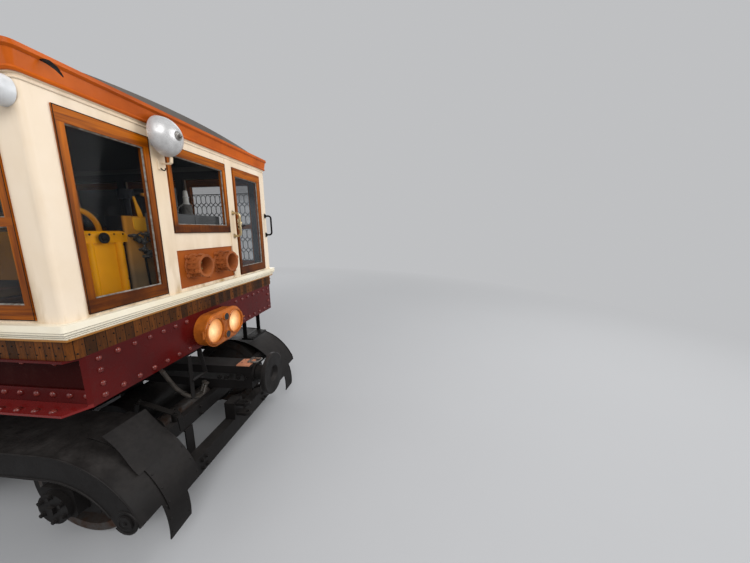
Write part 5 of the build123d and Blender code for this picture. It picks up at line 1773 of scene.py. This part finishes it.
def bogie_bolts():
    """Bolts of the hangers, the headstock, the draw beam and the axlebox covers."""
    spots = [((5.191, y + off, rail_top + z), AHEAD) for y in (-0.44, 0.44) for off in (-0.022, 0.022)
             for z in (0.198, 0.262)]
    spots += [((5.091, y, rail_top + z), AHEAD) for y in (-0.8, -0.66, -0.3, 0.3, 0.66, 0.8)
              for z in (0.522, 0.578)]
    for x, z in ((5.11, 0.7), (5.17, 0.7), (5.275, 0.705), (5.345, 0.705)):
        spots += [((x, side * 0.076, rail_top + z), (0, side, 0)) for side in SIDES]
    for axle in AXLES:
        for side in SIDES:
            for step in range(6):
                turn = radians(30 + 60 * step)
                x, z = axle + COVER_BOLTS * cos(turn), AXLE_Z + COVER_BOLTS * sin(turn)
                spots.append(((x, side * COVER_Y, z), (0, side, 0)))
    return spots


at_each_end(beam_plate, "strap", "bogie", bevel=0.002)
heads_each_end("pad_holes", nails, pad_holes(), 0.007, 0.0015, "iron", "bogie")
at_each_end(shackle, "steel", "bogie", bevel=0.001)
at_each_end(slotted_link, "iron", "bogie", bevel=0.002)
at_each_end(washer_stack, "iron", "bogie")
heads_each_end("bogie_bolts", bolts, bogie_bolts(), 0.0115, 0.01, "bogie", "bogie")

# %% [markdown]
# ## Inside the cab
# Through the end windows the driver's brake stand shows, with a yellow plate, a group of cast
# cocks and a thin pipe, and beside it the controller. A grey cupboard stands behind the middle
# window, with a round post on it.

# %% Cab fittings
CONTROLLER_X, STAND_X, POST_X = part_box("controllers")[1].x, face_x - 0.22, face_x - 0.13


def stand_plate(shape):
    x, left, right, low, high, bend = STAND_X - 0.001, -0.392, -0.257, 1.924, 2.011, 0.03
    outline = arc((x, left + bend, low + bend), bend, 180, 270, 6, ACROSS, UP)
    outline += [Vector((x, right, low)), Vector((x, right, high)), Vector((x, left, high))]
    push(shape, outline, (0.006, 0, 0))


def brake_lever(shape):
    """Tapered valve handle above the plate."""
    rings = []
    for y, z, half in ((-0.325, 2.000, 0.017), (-0.338, 2.06, 0.015), (-0.351, 2.11, 0.008),
                       (-0.36, 2.147, 0.006)):
        rings.append(spots_from((STAND_X, y, z), [(x, side * half, rise) for x, side, rise in (
            (-0.004, -1, 0), (0.004, -1, 0), (0.004, 1, 0.2 * half), (-0.004, 1, 0.2 * half))]))
    loft(shape, rings)


def brake_cocks(shape):
    """Cast valve bodies with unions, joined by short pipes, and three small handles."""
    places = ((-0.432, 1.893, 0.013), (-0.4, 1.868, 0.022), (-0.368, 1.85, 0.017), (-0.34, 1.902, 0.015),
              (-0.372, 1.8, 0.016), (-0.335, 1.776, 0.019), (-0.352, 1.752, 0.012))
    for y, z, radius in places:
        lathe(shape, [(-0.03, 0.009), (0, 0.01), (0, radius), (0.013, radius), (0.017, 0.7 * radius),
                      (0.024, 0.006), (0.034, 0.006)], (STAND_X + 0.03, y, z), AHEAD, 16)
    middles = [(STAND_X + 0.034, y, z) for y, z, radius in places]
    for pair in zip(middles, middles[1:]):
        tube(shape, pair, 0.007, 10)
    for y, z, tilt in ((-0.42, 1.905, 0.4), (-0.352, 1.884, -0.5), (-0.338, 1.79, 0.8)):
        across, up = 0.022 * cos(tilt), 0.022 * sin(tilt)
        tube(shape, spots_from((STAND_X + 0.06, y, z), ((0, -across, -up), (0, across, up))), 0.0045, 8)


def brake_pipes(shape):
    path = ((0, -0.367, 1.745), (0, -0.362, 1.65), (0, -0.357, 1.552), (0, -0.355, 1.17))
    tube(shape, spots_from((STAND_X + 0.03, 0, 0), path), 0.0065)


def controller_disc(shape):
    centre = (CONTROLLER_X + 0.001, -0.624, 1.883)
    hoop(shape, centre, AHEAD, 0.018, 0.032, 0.006, 28)
    lathe(shape, [(0, 0.018), (0.008, 0.016), (0.01, 0.01)], centre, AHEAD, 20)


def controller_bolts():
    spots = [(CONTROLLER_X + 0.001, y, 1.905) for y in (-0.775, -0.7, -0.56, -0.505)]
    spots += [(CONTROLLER_X - 0.002, y, 1.84 - 0.215 * step) for y in (-0.772, -0.508) for step in range(3)]
    return all_round([(place, AHEAD) for place in spots])


def cupboard(shape):
    """Box with two doors on two legs."""
    boxes = [((-0.215, -0.3, 1.85), (-0.09, 0.32, 2.045))]
    boxes += [((-0.091, y, 1.865), (-0.084, y + 0.29, 2.03)) for y in (-0.285, 0.015)]
    boxes += [((-0.2, y - 0.015, 1.165), (-0.17, y + 0.015, 1.851)) for y in (-0.285, 0.285)]
    for corners in boxes:
        slab(shape, *spots_from((face_x, 0, 0), corners))


def gauge_post(shape):
    """Dark round post on the cupboard."""
    lathe(shape, [(0, 0.042), (0.006, 0.042), (0.008, 0.036), (0.068, 0.036), (0.07, 0.04), (0.078, 0.04)],
          (POST_X, -0.005, 2.044), UP, 28)


def gauge_cap(shape):
    """Pale cap of the post, with two fine rings."""
    lathe(shape, [(0, 0.026), (0.01, 0.026), (0.012, 0.02), (0.05, 0.019), (0.052, 0.023), (0.058, 0.023),
                  (0.06, 0.018), (0.1, 0.015), (0.106, 0.009)], (POST_X, -0.005, 2.122), UP, 24)


def gauge_arm(shape):
    path = ((0, -0.01, 2.124), (0, -0.05, 2.116), (0, -0.082, 2.101), (0.004, -0.105, 2.086),
            (0.006, -0.128, 2.066))
    tube(shape, spots_from((POST_X, 0, 0), path), 0.006)


def stand_paint():
    """Ochre front that fades to grey brown low down. The other faces are nearly black, as painted shade."""
    finish = Finish("stand_paint", rough=0.45, Specular_IOR_Level=0.1)
    high = finish.step(finish.axis("Z"), rail_top + 1.6, rail_top + 1.88)
    cloud = finish.step(finish.noise(9, 5), 0.3, 0.7)
    worn = finish.blend(cloud, (0.3, 0.2, 0.1), (0.18, 0.125, 0.07))
    front = finish.blend(high, worn, (0.6, 0.25, 0.028))
    # Painted shade: every face but the front is nearly black.
    ahead = finish.step(finish.off("X"), STAND_X - 0.022, STAND_X - 0.008)
    return finish.colour(ahead, (0.008, 0.009, 0.012), front).bump(cloud, 0.001, 0.3)


finishes["stand"] = stand_paint()
dress(nodes["brake_stands"], finishes["stand"])
at_both_ends(stand_plate, "light_plate", bevel=0.0015)
at_both_ends(brake_cocks, "pewter")
at_both_ends(brake_pipes, "iron")
at_both_ends(controller_disc, "iron")
heads("controller_bolts", nails, controller_bolts(), 0.007, 0.005, "iron")
at_both_ends(cupboard, "grey_box", bevel=0.004)
at_both_ends(gauge_post, "pewter")
at_both_ends(gauge_cap, "porcelain")
at_both_ends(gauge_arm, "pewter")
at_both_ends(brake_lever, "ochre", bevel=0.001)
print("cab fittings done")

# %% [markdown]
# ## Driver's seats
# Each driver sits on a low wooden locker with a leather cushion and a leather back. A stuffed
# cushion is crowned, its sides pull in between its corners, and its panels are sewn: the sewn
# lines sink into it, and a piping runs round the seam. The shape is a rounded box of fine quads
# that is moved by those rules, so every edge stays round.

# %% Driver's seats
SEAT_X, SEAT_Y, SEAT_DEEP, SEAT_WIDE = face_x - 0.74 - 0.215, -0.655, 0.43, 0.45
PAD_THICK, BACK_TALL, PAD_OVER = 0.07, 0.45, 0.01
PAD_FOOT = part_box("cab_seats")[1].z - BACK_TALL - PAD_THICK
SEAT_FLOOR = PAD_FOOT - 0.38
SEWN_LINES, ROUND_POWER, PULL, FINE = (-0.6, -0.2, 0.2, 0.6), 9, 0.03, 22


def seat_locker(shape):
    """Locker with a plinth and a lid edge, at the plain solid's place."""
    def boxed(reach, wide, low, high):
        slab(shape, (SEAT_X - reach, SEAT_Y - wide, low), (SEAT_X + reach, SEAT_Y + wide, high))

    deep, wide = SEAT_DEEP / 2, SEAT_WIDE / 2
    boxed(deep - 0.012, wide - 0.012, SEAT_FLOOR + 0.05, PAD_FOOT - 0.018)
    boxed(deep, wide, SEAT_FLOOR, SEAT_FLOOR + 0.06)
    boxed(deep, wide, PAD_FOOT - 0.022, PAD_FOOT)
    for side in SIDES:
        middle = SEAT_Y + side * 0.5 * wide
        slab(shape, (SEAT_X + deep - 0.014, middle - 0.085, SEAT_FLOOR + 0.085),
             (SEAT_X + deep - 0.005, middle + 0.085, PAD_FOOT - 0.045))


def rounded(parts):
    """Carry a point of the cube from -1 to 1 onto a cube with well rounded edges."""
    size = sum(abs(part) ** ROUND_POWER for part in parts) ** (1 / ROUND_POWER)
    return [part / size for part in parts]


def cushion_point(spot, crown):
    """Where a point of the cube lies on a stuffed cushion, in shares of its half sizes."""
    a, b, c = rounded(spot)
    swell = (1 - a * a) * (1 - b * b)
    groove = sum(exp(-((b - line) / 0.035) ** 2) for line in SEWN_LINES) * (1 - 0.6 * a * a)
    depth = (1 + crown * swell - 0.2 * groove * swell ** 0.25) if c > 0 else 1
    a, b = a * (1 - PULL * (1 - b * b) * (1 - c * c)), b * (1 - PULL * (1 - a * a) * (1 - c * c))
    return a, b, c * depth


def cushion(shape, centre, halves, axes, crown):
    """Stuffed cushion. The axes are its depth, its width with the sewn lines across, and its crowned side."""
    ticks = [2 * step / FINE - 1 for step in range(FINE + 1)]

    def place(spot):
        parts = zip(cushion_point(spot, crown), halves, axes)
        return Vector(centre) + sum((part * half * Vector(axis) for part, half, axis in parts), Vector())

    for fixed in range(3):
        for sign in SIDES:
            grid = [[shape.verts.new(place([*(first, second)[:fixed], sign, *(first, second)[fixed:]]))
                     for second in ticks] for first in ticks]
            for low, high in zip(grid, grid[1:]):
                for index in range(FINE):
                    shape.faces.new((low[index], low[index + 1], high[index + 1], high[index]))


HALF_WIDE = SEAT_WIDE / 2 + PAD_OVER
SEAT_CUSHION = ((SEAT_X, SEAT_Y, PAD_FOOT + 0.031), (SEAT_DEEP / 2 + PAD_OVER, HALF_WIDE, 0.031),
                (AHEAD, ACROSS, UP))
BACK_CUSHION = ((SEAT_X - SEAT_DEEP / 2 + 0.003, SEAT_Y, PAD_FOOT + PAD_THICK + BACK_TALL / 2),
                (BACK_TALL / 2, HALF_WIDE, 0.043), (UP, ACROSS, AHEAD))


def seat_piping(shape):
    """Sewn cord round the front seam of both cushions."""
    for centre, (long, wide, thick), axes in (SEAT_CUSHION, BACK_CUSHION):
        first, second, out = (Vector(axis) for axis in axes)
        path = []
        for step in range(72):
            turn = 2 * pi * step / 72
            a, b = (0.985 * part for part in rounded((cos(turn), sin(turn))))
            path.append(Vector(centre) + long * a * first + wide * b * second + 0.8 * thick * out)
        tube(shape, path, 0.0045, 8, closed=True)


def seat_pad(shape):
    cushion(shape, *SEAT_CUSHION, crown=0.22)


def seat_back(shape):
    cushion(shape, *BACK_CUSHION, crown=0.26)


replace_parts(at_both_ends(seat_locker, "bench", bevel=0.003), "cab_seats")
for end in ENDS:
    for name, build, fill in (("seat_pad", seat_pad, 0.7), ("seat_back", seat_back, 0.6)):
        made = piece(f"{name}_{end}", build, "leather", "car", angle=80, turned=end == "rear")
        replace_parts(made, "cab_seats")
at_both_ends(seat_piping, "strap")
print("seat cushions at", round(PAD_FOOT, 3))

# %% [markdown]
# ## Saloon
# The benches get slats along the seat and the back, screwed on with a gap between them. One
# Geometry Nodes tree makes the slat, a line with a rounded section, and puts one at every
# point. The sliding doors have flush finger plates.

# %% Bench slats and finger plates
SLAT_WIDE, SLAT_THICK, SLAT_PITCH = 0.042, 0.012, 0.052
bench_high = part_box("saloon_benches")[1]
BENCH_START, SEAT_Z, BENCH_BACK = 0.85, rail_top + 0.45 + 0.43, 0.82


def slat_tree():
    """Rounded bar along x, set on every point."""
    tree = Tree("slats", {"Length": 1.0, "Width": SLAT_WIDE, "Thickness": SLAT_THICK})
    half = tree.times(tree.inputs["Length"], 0.5)
    line = tree.geometry("CurvePrimitiveLine", {
        "Start": tree.vector(tree.times(half, -1.0), 0.0, 0.0), "End": tree.vector(half, 0.0, 0.0)})
    section = tree.geometry("CurvePrimitiveQuadrilateral", {
        "Width": tree.inputs["Width"], "Height": tree.inputs["Thickness"]})
    corner = tree.times(tree.inputs["Thickness"], 0.3)
    soft = tree.geometry("FilletCurve", {"Curve": section, "Radius": corner})
    return heads_on_points(tree, tree.geometry("CurveToMesh", {0: line, 1: soft, "Fill Caps": True}), 0.0, 11)


def bench_slats():
    """Middles of all slats on seats and backs."""
    length = bench_high.x - BENCH_START
    middle = BENCH_START + length / 2
    spots = []
    for step in range(7):
        y = BENCH_BACK - 0.105 - SLAT_PITCH * step
        rise = 0.012 * (BENCH_BACK - 0.08 - y) / 0.37
        spots.append(((middle, y, SEAT_Z + rise + 0.006), (0, 0.03, 1)))
    lean = Vector((0, -1, 0.102)).normalized()
    for step in range(7):
        share = (step + 0.8) / 8
        spots.append(((middle, BENCH_BACK - 0.08 + 0.048 * share - 0.006, SEAT_Z + 0.47 * share), lean))
    return all_round(both_sides(spots)), length


def finger_cups(shape):
    """Flush plates with a round cup, which pass the wall as the door slides."""
    low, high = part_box("saloon_door_left")
    face, side = (high.y, 1) if low.y > 0 else (low.y, -1)
    back, z = face - side * 0.002, rail_top + 1.2
    for x in (low.x + 0.055, high.x - 0.055):
        for foot in (z - 0.075, z + 0.031):
            slab(shape, (x - 0.022, face - 0.002, foot), (x + 0.022, face + 0.002, foot + 0.044))
        hoop(shape, (x, back, z), (0, side, 0), 0.021, 0.032, 0.005, 28)
        lathe(shape, [(0, 0.021), (0.001, 0.022)], (x, face - side * 0.001, z), (0, side, 0), 28)


slat_spots, SLAT_LENGTH = bench_slats()
grow("bench_slats", slat_tree(), points_mesh("slat_points", slat_spots),
     {"Length": SLAT_LENGTH - 0.01, "Width": SLAT_WIDE, "Thickness": SLAT_THICK}, "bench", "car")
piece("finger_cups_left", finger_cups, "brass", "door_saloon_left")
piece("finger_cups_right", finger_cups, "brass", "door_saloon_right", turned=True)
print("slats", len(slat_spots))

# %% [markdown]
# ## Roof and steps
# The canvas is laid in strips across the roof, and each seam is a low rounded lap under
# paint. The step below each cab has a ribbed tread.

# %% Roof seams and treads
ROOF_RISE, ROOF_HALF, ROOF_TOP = 0.075, 1.03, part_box("roof")[1].z


def roof_height(y):
    """Top of the arched roof at a distance from the middle."""
    radius = (ROOF_HALF ** 2 + ROOF_RISE ** 2) / (2 * ROOF_RISE)
    return ROOF_TOP - radius + sqrt(radius ** 2 - y ** 2)


def canvas_seams(shape):
    for step in range(9):
        x = -4.6 + 1.15 * step
        rings = []
        for spot in range(21):
            y = -1.0 + 0.1 * spot
            z = roof_height(y)
            rings.append([(x - 0.022, y, z - 0.002), (x + 0.022, y, z - 0.002), (x + 0.018, y, z + 0.0025),
                          (x, y, z + 0.0045), (x - 0.016, y, z + 0.0025)])
        loft(shape, rings)


def step_treads(shape):
    """Ribs across the step, which lies under the cab's door."""
    for step in range(6):
        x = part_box("cab_steps")[1].x - 0.012 - 0.018 * step
        slab(shape, (x - 0.004, 0.575, rail_top + 0.789), (x + 0.004, 0.825, rail_top + 0.7935))


piece("canvas_seams", canvas_seams, "roof", "car")
at_both_ends(step_treads, "iron", bevel=0.0008)
print("roof top", round(ROOF_TOP, 3))
